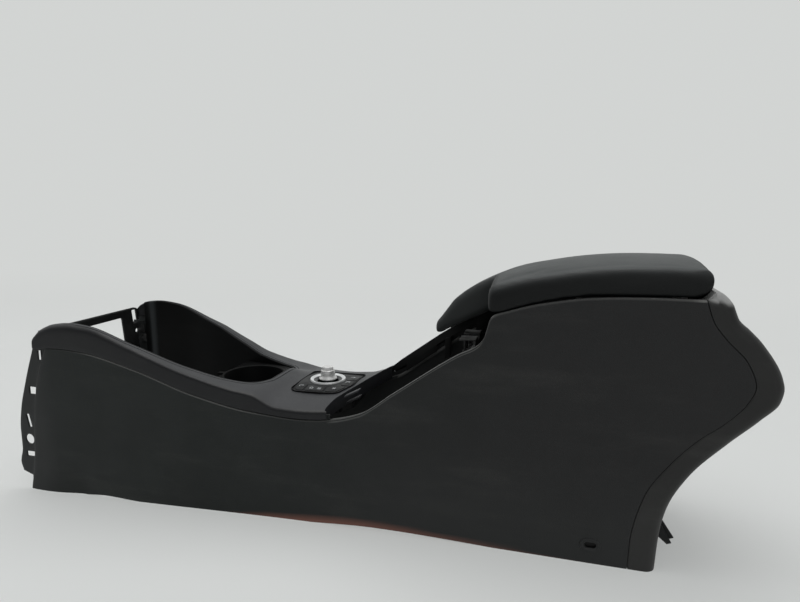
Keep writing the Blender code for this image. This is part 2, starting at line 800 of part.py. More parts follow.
def clip_tabs():
    """Two thin tabs behind the curtain, one over the other, that the handbrake trim's clips hold on to."""
    tabs = []
    for drop, reach, shift in ((0.0, 32.0, 0.0), (7.5, 34.0, 5.0)):
        start, foot = DECK_END, DECK_HEIGHT - 3.5 - drop
        rise = 0.78 * reach
        outline = [(start, foot), (start + reach, foot + rise), (start + reach, foot + rise + 2), (start, foot + 2)]
        near = -HALF_DECK + 31 + shift
        tabs.append(prism(f"clip_tab_{drop}", outline, "Y", near, near + 28))
    return tabs


def plate_outline(grow=0.0):
    """Plan of the controller's plate, cut back at the driver's rear corner to follow the deck's edge."""
    front = DIAL_STATION - PLATE_LENGTH * 0.43
    rear = front + PLATE_LENGTH
    low = DIAL_OFFSET - PLATE_WIDTH / 2 - 7
    high = low + PLATE_WIDTH
    corners = [(front, low), (rear - 13, low + 3), (rear, low + 31), (rear, high), (front, high)]
    outline = rounded(corners, [9, 9, 13, PLATE_CORNER, 10], 5)
    return [tuple(p) for p in inset(outline, -grow)]


def top_trim(finish):
    trim = sheet("top_trim", trim_grid(), TRIM_WALL, finish)
    outline = [tuple(p) for p in bay_outline()]
    outline = [(outline[0][0] - 30, outline[0][1])] + outline + [(outline[-1][0] - 30, outline[-1][1])]
    low, high = DECK_HEIGHT - 60, RIM_HEIGHT + 40
    bay = prism("bay_cut", outline, "Z", low, high)
    rear = [tuple(p) for p in spread(deck_end_outline(), 26)]
    rear += [(DECK_END + 90, HALF_DECK + 12), (DECK_END + 90, -HALF_DECK - 12)]
    end = prism("deck_end_cut", rear, "Z", low, high)
    seat = prism("controller_cut", plate_outline(CLEARANCE + 0.8), "Z", low, high)
    cut(trim, bay, end)
    join(trim, deck_curtain(), *clip_tabs())
    return cut(trim, seat)


# Bay liner and cup holder

def bay_liner(finish):
    """Upright wall inside the bay, from the front frame round behind the cup holder."""
    outer = bay_outline(CLEARANCE)
    outer = outer[outer[:, 0] > TRIM_FRONT + 24]
    rings = []
    for (s, y), (si, yi) in zip(outer, beside(outer, LINER_WALL)):
        top = min(deck(s, y), deck(si, yi)) - 0.6
        rings.append([(s, y, LINER_FOOT), (s, y, top), (si, yi, top), (si, yi, LINER_FOOT)])
    return tube_of_rings("bay_liner", rings, finish)


def cup_centre():
    return BAY_END - CUP_SETBACK, 0.0


def cup_level():
    return DECK_HEIGHT + 0.17 * RIM_DROP - CUP_SINK + 6


def cup_holder(finish):
    """Insert that fills the rear of the bay: a plate on the liner's wall with a deep round cup."""
    level = cup_level()
    station, _ = cup_centre()
    line = bay_outline(LINER_WALL + 2 * CLEARANCE)
    front = station - CUP_APRON
    line = line[line[:, 0] > front]
    outline = [tuple(p) for p in line]
    outline = [(front, outline[0][1] - 0.5)] + outline + [(front, outline[-1][1] + 0.5)]
    plate = prism("cup_holder", outline, "Z", level - 8, level - 5, finish)
    bore = prism("cup_bore", circle(station, 0, CUP_RADIUS + 1, 36), "Z", level - 30, level + 20)
    wall = INNER_WALL
    foot = level - CUP_DEPTH
    low = CUP_RADIUS - CUP_TAPER
    profile = [
        (0, foot - wall), (low + wall, foot - wall), (CUP_RADIUS + wall, level - 4.5),
        (CUP_RADIUS + 3.5, level - 1), (CUP_RADIUS + 2, level), (CUP_RADIUS, level - 1), (low, foot), (0, foot),
    ]
    cup = turned("cup_wall", profile, (station, 0), 36)
    tab = box("cup_tab", (front - 6, -4, level - 8), (front + 8, 4, level - 2.5))
    cut(plate, bore)
    return join(plate, cup, tab)


def cup_mat(finish):
    foot = cup_level() - CUP_DEPTH
    radius = CUP_RADIUS - CUP_TAPER - CLEARANCE
    profile = [(0, foot + 0.3), (radius - 1, foot + 0.3), (radius - 1, foot + 2.5), (radius - 3, foot + 3.2),
               (0, foot + 3.2)]
    return turned("cup_mat", profile, (cup_centre()[0], 0), 32, finish)


# Rotary controller

def dial_top():
    return float(deck(DIAL_STATION, 0)) + PLATE_PROUD


def crowned_slab(name, lift, thick, finish=None, pivot=None):
    """Slab that follows the deck's crown, to be trimmed to a plate's or a key's outline."""
    stations = np.linspace(DIAL_STATION - 60, DIAL_STATION + 62, 3)
    across = np.linspace(-72, 72, 13)
    grid = np.array([[(s, y, float(deck(DIAL_STATION, y)) + lift) for y in across] for s in stations])
    return sheet(name, grid, thick, finish, pivot)


KEYS = {
    "key_front": rounded([(DIAL_STATION - 30.5, -44.8), (DIAL_STATION - 17.5, -44.8), (DIAL_STATION - 17.5, -24),
                          (DIAL_STATION - 30.5, -24)], [6, 2.5, 2.5, 2.5]),
    "key_centre": rounded([(DIAL_STATION - 15.5, -44.6), (DIAL_STATION + 11, -43.4), (DIAL_STATION + 11, -28),
                           (DIAL_STATION - 15.5, -28)], 2.5),
    "key_rear": rounded([(DIAL_STATION + 13, -43.2), (DIAL_STATION + 29, -42.2), (DIAL_STATION + 37.5, -23),
                         (DIAL_STATION + 14.5, -25)], 2.5),
    "key_side_low": rectangle(DIAL_STATION + 27.5, -19, DIAL_STATION + 41.5, 1, 2.5),
    "key_side_high": rectangle(DIAL_STATION + 27.5, 3.5, DIAL_STATION + 41.5, 24, 2.5),
}


def controller_plate(finish):
    plate = crowned_slab("controller_plate", PLATE_PROUD, PLATE_THICK, finish)
    top = dial_top()
    shape = prism("plate_shape", plate_outline(), "Z", top - 30, top + 30)
    combine(plate, shape, "INTERSECT")
    well = prism("dial_well", circle(DIAL_STATION, DIAL_OFFSET, RING_RADIUS + CLEARANCE, 36), "Z", top - 30, top + 30)
    cutters = [well]
    for name, outline in KEYS.items():
        centre = np.mean(outline, axis=0)
        grown = [tuple(np.array(p) + CLEARANCE * np.sign(np.array(p) - centre)) for p in outline]
        cutters.append(prism(name + "_seat", grown, "Z", top - 30, top + 30))
    return cut(plate, *cutters)


def key(name, outline, finish):
    """One push key, crowned with the plate, on a short plunger over the circuit board."""
    centre = np.mean(outline, axis=0)
    top = float(deck(DIAL_STATION, centre[1])) + PLATE_PROUD
    pivot = axis_empty(name + "_slide", (centre[0], centre[1], top))
    made = crowned_slab(name, PLATE_PROUD + 0.5, 3.2, finish, pivot)
    shape = prism(name + "_shape", outline, "Z", top - 20, top + 20, None, pivot)
    combine(made, shape, "INTERSECT")
    x, y = centre
    plunger = box(name + "_plunger", (x - 3, y - 3, board_top() + KEY_TRAVEL + 0.5), (x + 3, y + 3, top - 1.5),
                  None, pivot)
    return join(made, plunger)


def board_top():
    return dial_top() - 12


def controller_housing(finish):
    """Open tray under the plate that carries the circuit board and the stick's bearing posts."""
    top = housing_rim()
    foot = dial_top() - HOUSING_DEPTH
    shell = prism("controller_housing", plate_outline(-0.6), "Z", foot, top, finish)
    hollow = prism("housing_hollow", plate_outline(-2.6), "Z", foot + INNER_WALL, top + 20)
    cut(shell, hollow)
    posts = [housing_tab(*spot) for spot in ((-PLATE_LENGTH * 0.43, -1, -16), (-PLATE_LENGTH * 0.43, -1, 22),
                                             (PLATE_LENGTH * 0.57, 1, 17))]
    for dx in (-1, 1):
        x = DIAL_STATION + dx * (POST_REACH + 3)
        posts.append(box(f"post_{dx}", (x - 3, DIAL_OFFSET - 4, foot + 1), (x + 3, DIAL_OFFSET + 4, pivot_height() + 4)))
    for dx in (-1, 1):
        for dy in (-1, 1):
            x, y = DIAL_STATION + 3 + dx * 29, DIAL_OFFSET - 6 + dy * 36
            posts.append(box(f"boss_{dx}_{dy}", (x - 4, y - 4, foot + 1), (x + 4, y + 4, board_top() - 2.0)))
    join(shell, *posts)
    holes = [rod(f"post_hole_{dx}", (DIAL_STATION + dx * (POST_REACH - 1), DIAL_OFFSET, pivot_height()),
                 (DIAL_STATION + dx * (POST_REACH + 7), DIAL_OFFSET, pivot_height()), TRUNNION + PIN_GAP, "X")
             for dx in (-1, 1)]
    return cut(shell, *holes)


def housing_rim():
    return float(deck(DIAL_STATION, DIAL_OFFSET - PLATE_WIDTH / 2 - 7)) + PLATE_PROUD - PLATE_THICK - CLEARANCE


def housing_tab(edge, way, across):
    """Tab that reaches out under the deck from the housing's wall."""
    near, step, far = [DIAL_STATION + edge + way * reach for reach in (-2, 1.8, 5)]
    ledge = min(float(deck(DIAL_STATION, across + dy)) for dy in (-5, 5)) + PLATE_PROUD - PLATE_THICK - CLEARANCE
    top = min(float(deck(s, across + dy)) for s in (step, far) for dy in (-5, 5)) - TRIM_WALL - CLEARANCE
    foot = housing_rim() - 4
    outline = [(near, foot), (far, foot), (far, top), (step, top), (step, ledge), (near, ledge)]
    return prism(f"tab_{across}", outline, "Y", across - 5, across + 5)


POST_REACH = 13.0
TRUNNION = 1.6
GIMBAL_OUTER = 12.0
GIMBAL_INNER = 8.6


def pivot_height():
    return dial_top() - TILT_PIVOT_DEPTH


def circuit_board(finish):
    top = board_top()
    board = prism("circuit_board", plate_outline(-5.5), "Z", top - 1.6, top, finish)
    hole = prism("board_hole", circle(DIAL_STATION, DIAL_OFFSET, POST_REACH + 8, 24), "Z", top - 9, top + 9)
    return cut(board, hole)


def light_ring(finish):
    """Pale ring lit from behind, standing in the plate's round well."""
    top = dial_top()
    inner = RING_RADIUS - RING_WIDTH
    profile = [(inner, top - 3), (RING_RADIUS, top - 3), (RING_RADIUS, top + 0.6), (RING_RADIUS - 0.8, top + 1.2),
               (inner + 0.8, top + 1.2), (inner, top + 0.4)]
    return turned("light_ring", profile, (DIAL_STATION, DIAL_OFFSET), 48, finish)


def dial_collar(finish):
    """Dark fixed collar between the light ring and the knob."""
    top = dial_top()
    outer = RING_RADIUS - RING_WIDTH - CLEARANCE
    inner = KNOB_RADIUS + 2.4
    profile = [(inner, top - 3.5), (outer, top - 3.5), (outer, top + 0.2), (inner + 1.5, top - 1.2), (inner, top - 2.2)]
    return turned("dial_collar", profile, (DIAL_STATION, DIAL_OFFSET), 40, finish)


def joystick(finishes):
    """The knob's stack: a gimbal ring, a stem that tilts in it, a plunger that presses and a knob that turns."""
    centre = (DIAL_STATION, DIAL_OFFSET, pivot_height())
    x, y, z = centre
    side_tilt = axis_empty("side_tilt_axis", centre)
    ring = turned("gimbal_ring", [(GIMBAL_INNER, z - 2.5), (GIMBAL_OUTER, z - 2.5), (GIMBAL_OUTER, z + 2.5),
                                  (GIMBAL_INNER, z + 2.5)], centre, 28, finishes["dark"], side_tilt)
    for dx in (-1, 1):
        join(ring, rod(f"ring_pin_{dx}", (x + dx * (GIMBAL_OUTER - 1), y, z), (x + dx * (POST_REACH + 4), y, z),
                       TRUNNION, "X", 12, None, side_tilt))
    cut(ring, rod("ring_bore", (x, y - 20, z), (x, y + 20, z), TRUNNION + PIN_GAP, "Y", 12, None, side_tilt))
    long_tilt = axis_empty("long_tilt_axis", centre, side_tilt)
    stem = turned("tilt_stem", [(0, z - 7), (5, z - 7), (6.5, z - 3), (6.5, z + 4), (5.2, z + 6), (5.2, z + 9),
                                (2.6, z + 9), (2.6, z - 2), (0, z - 2)], centre, 24, finishes["dark"], long_tilt)
    join(stem, rod("stem_pin", (x, y - GIMBAL_OUTER + 0.6, z - 4.5 + 4.5), (x, y - 5, z), TRUNNION, "Y", 12, None,
                   long_tilt))
    join(stem, rod("stem_pin_2", (x, y + 5, z), (x, y + GIMBAL_OUTER - 0.6, z), TRUNNION, "Y", 12, None, long_tilt))
    press = axis_empty("press_axis", (x, y, z + 9), long_tilt)
    top = dial_top()
    plunger = turned("press_plunger", [(0, z - 0.4), (2.2, z - 0.4), (2.2, top + 6), (0, top + 6)], centre, 16,
                     finishes["dark"], press)
    spin = axis_empty("spin_axis", (x, y, top), press)
    knob = turned("dial_knob", [
        (2.5, top - 0.5), (KNOB_NECK, top - 0.5), (KNOB_RADIUS, top + 0.6), (KNOB_RADIUS, top + 2.2),
        (KNOB_NECK + 0.8, top + 4.4), (KNOB_NECK, top + 7), (KNOB_NECK, top + KNOB_HEIGHT - 6),
        (KNOB_NECK - 0.8, top + KNOB_HEIGHT - 5.2), (KNOB_CAP + 0.4, top + KNOB_HEIGHT - 5.2),
        (KNOB_CAP + 0.4, top + KNOB_HEIGHT - 8), (3.4, top + KNOB_HEIGHT - 8), (3.4, top + 6.4), (2.5, top + 6.4),
    ], centre, 32, finishes["silver"], spin)
    cap = turned("knob_cap", [(0, top + KNOB_HEIGHT - 7.6), (KNOB_CAP, top + KNOB_HEIGHT - 7.6),
                              (KNOB_CAP, top + KNOB_HEIGHT - 1.2), (KNOB_CAP - 1, top + KNOB_HEIGHT - 0.2),
                              (0, top + KNOB_HEIGHT)], centre, 32, finishes["clear"], spin)
    return [ring, stem, plunger, knob, cap]


# Ramp rail and the bracket at its top

RAIL_LINE = [
    (DECK_END + 37, DECK_HEIGHT + 17.5),
    (DECK_END + 51, DECK_HEIGHT + 29),
    (DECK_END + 75, DECK_HEIGHT + 46),
    (DECK_END + 98, DECK_HEIGHT + 63),
    (DECK_END + 121, DECK_HEIGHT + 78.5),
    (BOX_FRONT - 34, SHOULDER_HEIGHT - 55),
    (BOX_FRONT - 6, SHOULDER_HEIGHT - 38.5),
]


def ramp_rail(finish):
    """Trim rail on the passenger panel's edge, with a skirt inside whose lower edge is stepped for clips."""
    stations = np.linspace(RAIL_LINE[0][0], RAIL_LINE[-1][0], 14)
    rings = []
    for s in stations:
        top = float(curve(RAIL_LINE, s))
        outer = float(half_width(s, top))
        foot = float(panel_top(s)) + SEAM_GAP
        wall = TRIM_WALL
        rings.append([
            (s, outer, foot), (s, outer, top - 3), (s, outer - 2.5, top), (s, outer - RAIL_WIDTH, top + 0.5),
            (s, outer - RAIL_WIDTH - 1, top - RAIL_SKIRT - 6), (s, outer - RAIL_WIDTH + wall - 1, top - RAIL_SKIRT - 6),
            (s, outer - RAIL_WIDTH + wall, top - wall), (s, outer - wall, top - wall - 1), (s, outer - wall, foot),
        ])
    rail = tube_of_rings("ramp_rail", rings, finish)
    y0 = HALF_DECK - RAIL_WIDTH - 10
    post, wide = DECK_END + 117, 8.0
    high = float(curve(RAIL_LINE, post))
    join(rail, prism("rail_post", [(post, high - 40), (post + wide, high - 36), (post + wide, high - 8),
                                   (post, high - 10)], "Y", y0 + 1.5, y0 + 8))
    steps = []
    for start, length in ((DECK_END + 30, 28), (DECK_END + 104, 12.5), (DECK_END + 125.5, 12), (DECK_END + 147, 14)):
        near, far = [float(curve(RAIL_LINE, s)) - RAIL_SKIRT + 3.5 for s in (start, start + length)]
        steps.append(prism(f"rail_step_{start}", [(start, near - 40), (start + length, far - 40), (start + length, far),
                                                  (start, near)], "Y", y0 - 2, y0 + 13))
    return cut(rail, *steps)


def box_front_bracket(finish):
    """Cross wall at the top of the ramp, with ribs and hooks for the handbrake trim's clips."""
    s0 = BOX_FRONT - BRACKET_SETBACK
    top = float(panel_top(s0)) - 6
    half = float(half_width(s0, top)) - PANEL_WALL - LIP_WIDTH - 3.5
    wall = box("box_front_bracket", (s0, -half, top - 74), (s0 + 3, half, top), finish)
    pieces = []
    for i, y in enumerate(np.linspace(-half + 12, half - 12, 7)):
        rib = prism(f"bracket_rib_{i}", [(s0 + 1, top - 60), (s0 + 1, top - 1), (s0 - 14, top - 9), (s0 - 14, top - 22)],
                    "Y", y - 1.25, y + 1.25)
        pieces.append(rib)
    for side in (-1, 1):
        low, high = sorted((side * (half - 30), side * (half - 2)))
        shelf = box(f"bracket_shelf_{side}", (s0 - 16, low, top - 24), (s0 + 1, high, top - 21.5))
        hook = box(f"bracket_hook_{side}", (s0 + 1, low + 6, top - 3), (s0 + 16, high - 6, top - 0.5))
        pieces += [shelf, hook]
    for y in (-26.0, 12.0):
        pieces.append(box(f"bracket_post_{y}", (s0, y, top - 4), (s0 + 3, y + 22, top + 6.5)))
        pieces.append(box(f"bracket_tab_{y}", (s0 - 18, y, top + 4), (s0 + 1, y + 22, top + 6.5)))
        pieces.append(box(f"bracket_leg_{y}", (s0 - 12, y, top - 18), (s0 - 9.5, y + 22, top + 5)))
    side_arms = []
    for side in (-1, 1):
        low, high = sorted((side * (half - 3), side * (half + LIP_WIDTH + 3.1)))
        side_arms.append(box(f"bracket_arm_{side}", (s0, low, top - 74), (s0 + 3, high, top - 14)))
    return join(wall, *pieces, *side_arms)


# Storage box and hinge

def storage_box(finish):
    """Deep open bin under the armrest, with a flange that rests under the panels' lips."""
    top = SHOULDER_HEIGHT - LIP_DROP - 1.6
    front = BOX_FRONT + 15
    rear = BOX_REAR - 22
    foot = top - BOX_DEPTH
    wall = INNER_WALL
    shell = box("storage_box", (front, -BOX_HALF, foot), (rear, BOX_HALF, top), finish)
    hollow = prism("box_hollow", rectangle(front + wall, -BOX_HALF + wall, rear - wall, BOX_HALF - wall, 8), "Z",
                   foot + wall, top + 5)
    cut(shell, hollow)
    flanges = []
    for side in (-1, 1):
        reach = float(half_width(rear - 60, top)) - PANEL_WALL - CLEARANCE - 0.4
        low, high = sorted((side * (BOX_HALF - 1), side * reach))
        flanges.append(box(f"box_flange_{side}", (front + 100, low, top - 6), (rear - 6, high, top - 3)))
        for i, s in enumerate((front + 104, front + 132, rear - 20)):
            inner = low if side > 0 else high
            flanges.append(prism(f"box_rib_{side}_{i}", [(low, top - 4), (high, top - 4), (inner, top - 26)], "X",
                                 s, s + 2.5))
    join(shell, *flanges)
    stations = np.linspace(front - 10, rear + 10, 10)
    slope = [(t, float(curve(PAD_FOOT_LINE, t)) - BASE_WALL - 2.2) for t in stations]
    slope += [(rear + 10, top + 40), (front - 10, top + 40)]
    return cut(shell, prism("box_slope", slope, "Y", -BOX_HALF - 30, BOX_HALF + 30))


def box_mat(finish):
    top = SHOULDER_HEIGHT - LIP_DROP - 1.6
    foot = top - BOX_DEPTH + INNER_WALL + 0.3
    inset = INNER_WALL + 1.0
    return prism("box_mat", rectangle(BOX_FRONT + 15 + inset, -BOX_HALF + inset, BOX_REAR - 22 - inset,
                                      BOX_HALF - inset, 7), "Z", foot, foot + 2.5, finish)


def hinge_station():
    return BOX_REAR - HINGE_SETBACK


def hinge_bracket(finish):
    """Steel bracket on the box's rear wall: a back plate and two ears that hold the pin."""
    s, z = hinge_station(), HINGE_HEIGHT
    rear = BOX_REAR - 22
    top = SHOULDER_HEIGHT - LIP_DROP - 1.6
    plate = box("hinge_bracket", (rear + 0.3, -HINGE_HALF - 3, top - 44), (rear + 3.3, HINGE_HALF + 3, top - 6), finish)
    ears = []
    for side in (-1, 1):
        low, high = sorted((side * HINGE_HALF, side * (HINGE_HALF - EAR_THICK)))
        arc = [(s + EAR_RADIUS * math.cos(a), z + EAR_RADIUS * math.sin(a)) for a in np.radians(range(-20, 201, 20))]
        outline = [(s + 7, top - 20)] + arc + [(s - 7.6, top - 20), (rear + 1, top - 34), (s + 1, top - 34)]
        ears.append(prism(f"hinge_ear_{side}", outline, "Y", low, high))
    join(plate, *ears)
    return cut(plate, rod("pin_bore", (s, -60, z), (s, 60, z), HINGE_PIN_RADIUS + PIN_GAP, "Y", 16))


def hinge_pin(finish):
    s, z = hinge_station(), HINGE_HEIGHT
    return rod("hinge_pin", (s, -HINGE_HALF - 2, z), (s, HINGE_HALF + 2, z), HINGE_PIN_RADIUS, "Y", 16, finish)


# Armrest

PAD_TOP_LINE = [
    (BOX_FRONT - HORN_LENGTH, PAD_TOP - 96),
    (BOX_FRONT - HORN_LENGTH + 9, PAD_TOP - 84.5),
    (BOX_FRONT - 62, PAD_TOP - 68),
    (BOX_FRONT - 37, PAD_TOP - 47.5),
    (BOX_FRONT - 6, PAD_TOP - 31),
    (BOX_FRONT + 28, PAD_TOP - 18),
    (BOX_FRONT + 69, PAD_TOP - 9.5),
    (BOX_FRONT + 108, PAD_TOP - 3.8),
    (BOX_FRONT + 150, PAD_TOP - 0.5),
    (BOX_FRONT + 190, PAD_TOP),
    (BOX_REAR, PAD_TOP - 1.5),
]
PAD_FOOT_LINE = [
    (BOX_FRONT - HORN_LENGTH, SHOULDER_HEIGHT - 71),
    (BOX_FRONT - 47, SHOULDER_HEIGHT - 52),
    (BOX_FRONT - 20, SHOULDER_HEIGHT - 40),
    (BOX_FRONT + 2, SHOULDER_HEIGHT - 31 + PAD_LIFT),
    (BOX_FRONT + 37, SHOULDER_HEIGHT - 16 + PAD_LIFT - 1),
    (BOX_FRONT + 60, SHOULDER_HEIGHT - 10.5 + PAD_LIFT),
    (BOX_FRONT + 110, SHOULDER_HEIGHT - 2 + PAD_LIFT),
    (BOX_REAR, SHOULDER_HEIGHT + PAD_LIFT),
]


def pad_half(station):
    return float(half_width(station, SHOULDER_HEIGHT)) - 1.0


def pad_profile(front, rear, nose, rolled):
    """Side view of a pad from its front round the underside, the rear and back along the top."""
    s, z = hinge_station(), HINGE_HEIGHT
    stations = np.r_[front, np.linspace(front + 2.2 * nose, rear, 10)]
    under = [(t, float(curve(PAD_FOOT_LINE, t))) for t in stations]
    over = [(t, float(curve(PAD_TOP_LINE, t))) for t in reversed(stations)]
    roll = []
    if rolled:
        low, high = z - under[-1][1], over[0][1] - z
        for a in np.radians(range(15, 180, 15)):
            reach = low + (high - low) * (1 - math.cos(a)) / 2
            roll.append((s + ROLL_REACH * reach * math.sin(a), z - reach * math.cos(a)))
    outline = under + roll + over
    radii = [nose] + [0] * (len(outline) - 2) + [nose]
    return rounded(outline, radii, 4)


def inset(outline, by):
    """The outline moved inwards by a distance, for outlines that run anticlockwise."""
    points = np.array(outline)
    ahead = np.roll(points, -1, axis=0) - np.roll(points, 1, axis=0)
    ahead /= np.linalg.norm(ahead, axis=1)[:, None]
    by = np.asarray(by, float).reshape(-1, 1)
    return points + by * np.stack([-ahead[:, 1], ahead[:, 0]], -1)


def pad_body(name, outline, low, high, edge, finish, pivot):
    """The side view carried across, with its edges rounded on both sides."""
    rings = []
    for a in np.radians([0, 30, 60, 90]):
        rings.append((low + edge * (1 - math.cos(a)), edge * (1 - math.sin(a))))
    flat = [(y, 0.0) for y in np.linspace(low + edge, high - edge, 7)[1:-1]]
    levels = rings + flat + [(low + high - y, by) for y, by in reversed(rings)]
    stations = np.array(outline)[:, 0]
    thick = curve(PAD_TOP_LINE, stations) - curve(PAD_FOOT_LINE, stations)
    limit = np.minimum(1, 0.28 * (thick - 5) / edge)
    sections = []
    for y, by in levels:
        section = inset(outline, by * limit)
        lift = np.clip((section[:, 1] - curve(PAD_FOOT_LINE, stations)) / thick, 0, 1)
        drop = PAD_CROWN * (y / pad_half(BOX_FRONT + 60)) ** 2 * lift
        sections.append([(x, y, z) for x, z in np.stack([section[:, 0], section[:, 1] - drop], -1)])
    return tube_of_rings(name, sections, finish, pivot)


def armrest(finishes):
    """Padded lid: the driver's side is cut back for the handbrake, the passenger's side runs on as a horn."""
    s, z = hinge_station(), HINGE_HEIGHT
    pivot = axis_empty("armrest_axis", (s, 0, z))
    half = pad_half(BOX_FRONT + 60)
    pad = pad_body("armrest_pad", pad_profile(BOX_FRONT, s - 2, 13, True), -half, half, 11, finishes["pad"], pivot)
    horn = pad_body("armrest_horn", pad_profile(BOX_FRONT - HORN_LENGTH, BOX_FRONT + 60, 4, False), HORN_SIDE, half - 0.3, 7,
                    None, pivot)
    join(pad, horn)
    reach = EAR_RADIUS + 3
    sweep = [(s - reach, SHOULDER_HEIGHT - 5), (s - reach, z)]
    sweep += [(s + reach * math.cos(a), z + reach * math.sin(a)) for a in np.radians(range(160, 30, -20))]
    sweep += [(s + 40, z + reach - 2.5), (s + 40, SHOULDER_HEIGHT - 5)]
    return cut(pad, prism("hinge_notch", sweep, "Y", -NOTCH_HALF, NOTCH_HALF, None, pivot))


def base_outline(s):
    stations = np.linspace(BOX_FRONT + 22, s - 24, 8)
    upper = [(t, float(curve(PAD_FOOT_LINE, t)) - 0.9) for t in stations]
    lower = [(t, float(curve(PAD_FOOT_LINE, t)) - 0.9 - BASE_WALL) for t in reversed(stations)]
    return upper + lower


def armrest_base(finish):
    """Hard lid under the pad, with knuckles round the hinge pin."""
    s, z = hinge_station(), HINGE_HEIGHT
    pivot = axis_empty("armrest_base_axis", (s, 0, z))
    plate = prism("armrest_base", base_outline(s), "Y", -BOX_HALF + 2, BOX_HALF - 2, finish, pivot)
    knuckle_half = HINGE_HALF - EAR_THICK - 0.5
    foot = float(curve(PAD_FOOT_LINE, s - 30)) - 0.9 - BASE_WALL
    arm = [(s - 30, foot), (s - 9, foot), (s - 3, z - 7.5), (s + 3, z - 7), (s + 6, z - 4), (s + 7, z), (s + 5, z + 5),
           (s, z + 7), (s - 5, z + 5), (s - 8.5, z), (s - 10.2, foot + BASE_WALL), (s - 30, foot + BASE_WALL)]
    knuckle = prism("base_knuckle", arm, "Y", -knuckle_half, knuckle_half, None, pivot)
    bore = rod("knuckle_bore", (s, -60, z), (s, 60, z), HINGE_PIN_RADIUS + PIN_GAP, "Y", 16, None, pivot)
    join(plate, knuckle)
    return cut(plate, bore)


def lid_stop(name, side, finish):
    """Rubber stop between the lid and the panel's edge."""
    station = BOX_FRONT + 95
    pivot = axis_empty(name + "_axis", (hinge_station(), 0, HINGE_HEIGHT))
    edge = float(panel_top(station))
    y = side * (float(half_width(station, edge)) - LIP_WIDTH / 2 - 0.4)
    low, high = edge + 0.4, float(curve(PAD_FOOT_LINE, station - 3)) - 0.4
    return turned(name, [(0, low), (2.4, low), (3.2, low + 0.8), (3.2, high), (0, high)], (station, y), 16, finish, pivot)


# Rear cover

def cover_grid():
    """Skin of the rear cover: rows follow the contour upwards, columns run across from seam to seam."""
    count = SEAM_POINTS
    seam = spread(REAR_SEAM, count)
    contour = spread(REAR_CONTOUR, count)
    tangent = np.gradient(contour, axis=0)
    tangent /= np.linalg.norm(tangent, axis=1)[:, None]
    inward = np.stack([-tangent[:, 1], tangent[:, 0]], -1)
    gap = SEAM_GAP
    rows = []
    for k in range(count):
        side = []
        toward = contour[k] - seam[k]
        edge = min(COVER_EDGE, 0.55 * float(np.linalg.norm(toward)))
        start = seam[k] + toward * gap / np.linalg.norm(toward)
        inner = contour[k] + inward[k] * edge
        for share in (0.0, 0.55):
            p = start + (inner - start) * share
            side.append((p[0], float(half_width(p[0], p[1])), p[1]))
        for a in np.radians([0, 30, 60, 90]):
            p = contour[k] + inward[k] * edge * (1 - math.sin(a))
            side.append((p[0], float(half_width(p[0], p[1])) - edge * (1 - math.cos(a)), p[1]))
        side.append((contour[k][0], 42.0, contour[k][1]))
        middle = [(contour[k][0], 0.0, contour[k][1])]
        rows.append([(x, -y, z) for x, y, z in side] + middle + [(x, y, z) for x, y, z in reversed(side)])
    return np.array(rows)[:, ::-1]


def rear_cover(finish):
    cover = sheet("rear_cover", cover_grid(), PANEL_WALL, finish)
    half = NOTCH_WIDTH / 2
    notch = rounded([(-half, -20), (half, -20), (half, NOTCH_HEIGHT), (-half, NOTCH_HEIGHT)], [0, 0, 12, 12])
    return cut(cover, prism("cover_notch", notch, "X", SEAM_FOOT + 22, SEAM_FOOT + 60))


def rear_bracket(finish):
    """Fixing bracket in the cover's notch: a cross plate with a pair of prongs on each side."""
    s0 = SEAM_FOOT + 27
    half = NOTCH_WIDTH / 2 + 12
    plate = box("rear_bracket", (s0 - 3, -half, 6), (s0, half, NOTCH_HEIGHT + 16), finish)
    prongs = []
    for side in (-1, 1):
        for k, (lift, reach) in enumerate(((27, 28), (23, 25))):
            y = side * (PRONG_OFFSET + PRONG_PITCH * k)
            outline = [(s0 - 1, lift + 12), (s0 - 1, lift + 32), (s0 + 4, lift + 32), (s0 + reach, lift - 4),
                       (s0 + reach - 5, lift - 6)]
            prongs.append(prism(f"prong_{side}_{k}", outline, "Y", y - PRONG_THICK / 2, y + PRONG_THICK / 2))
    return join(plate, *prongs)


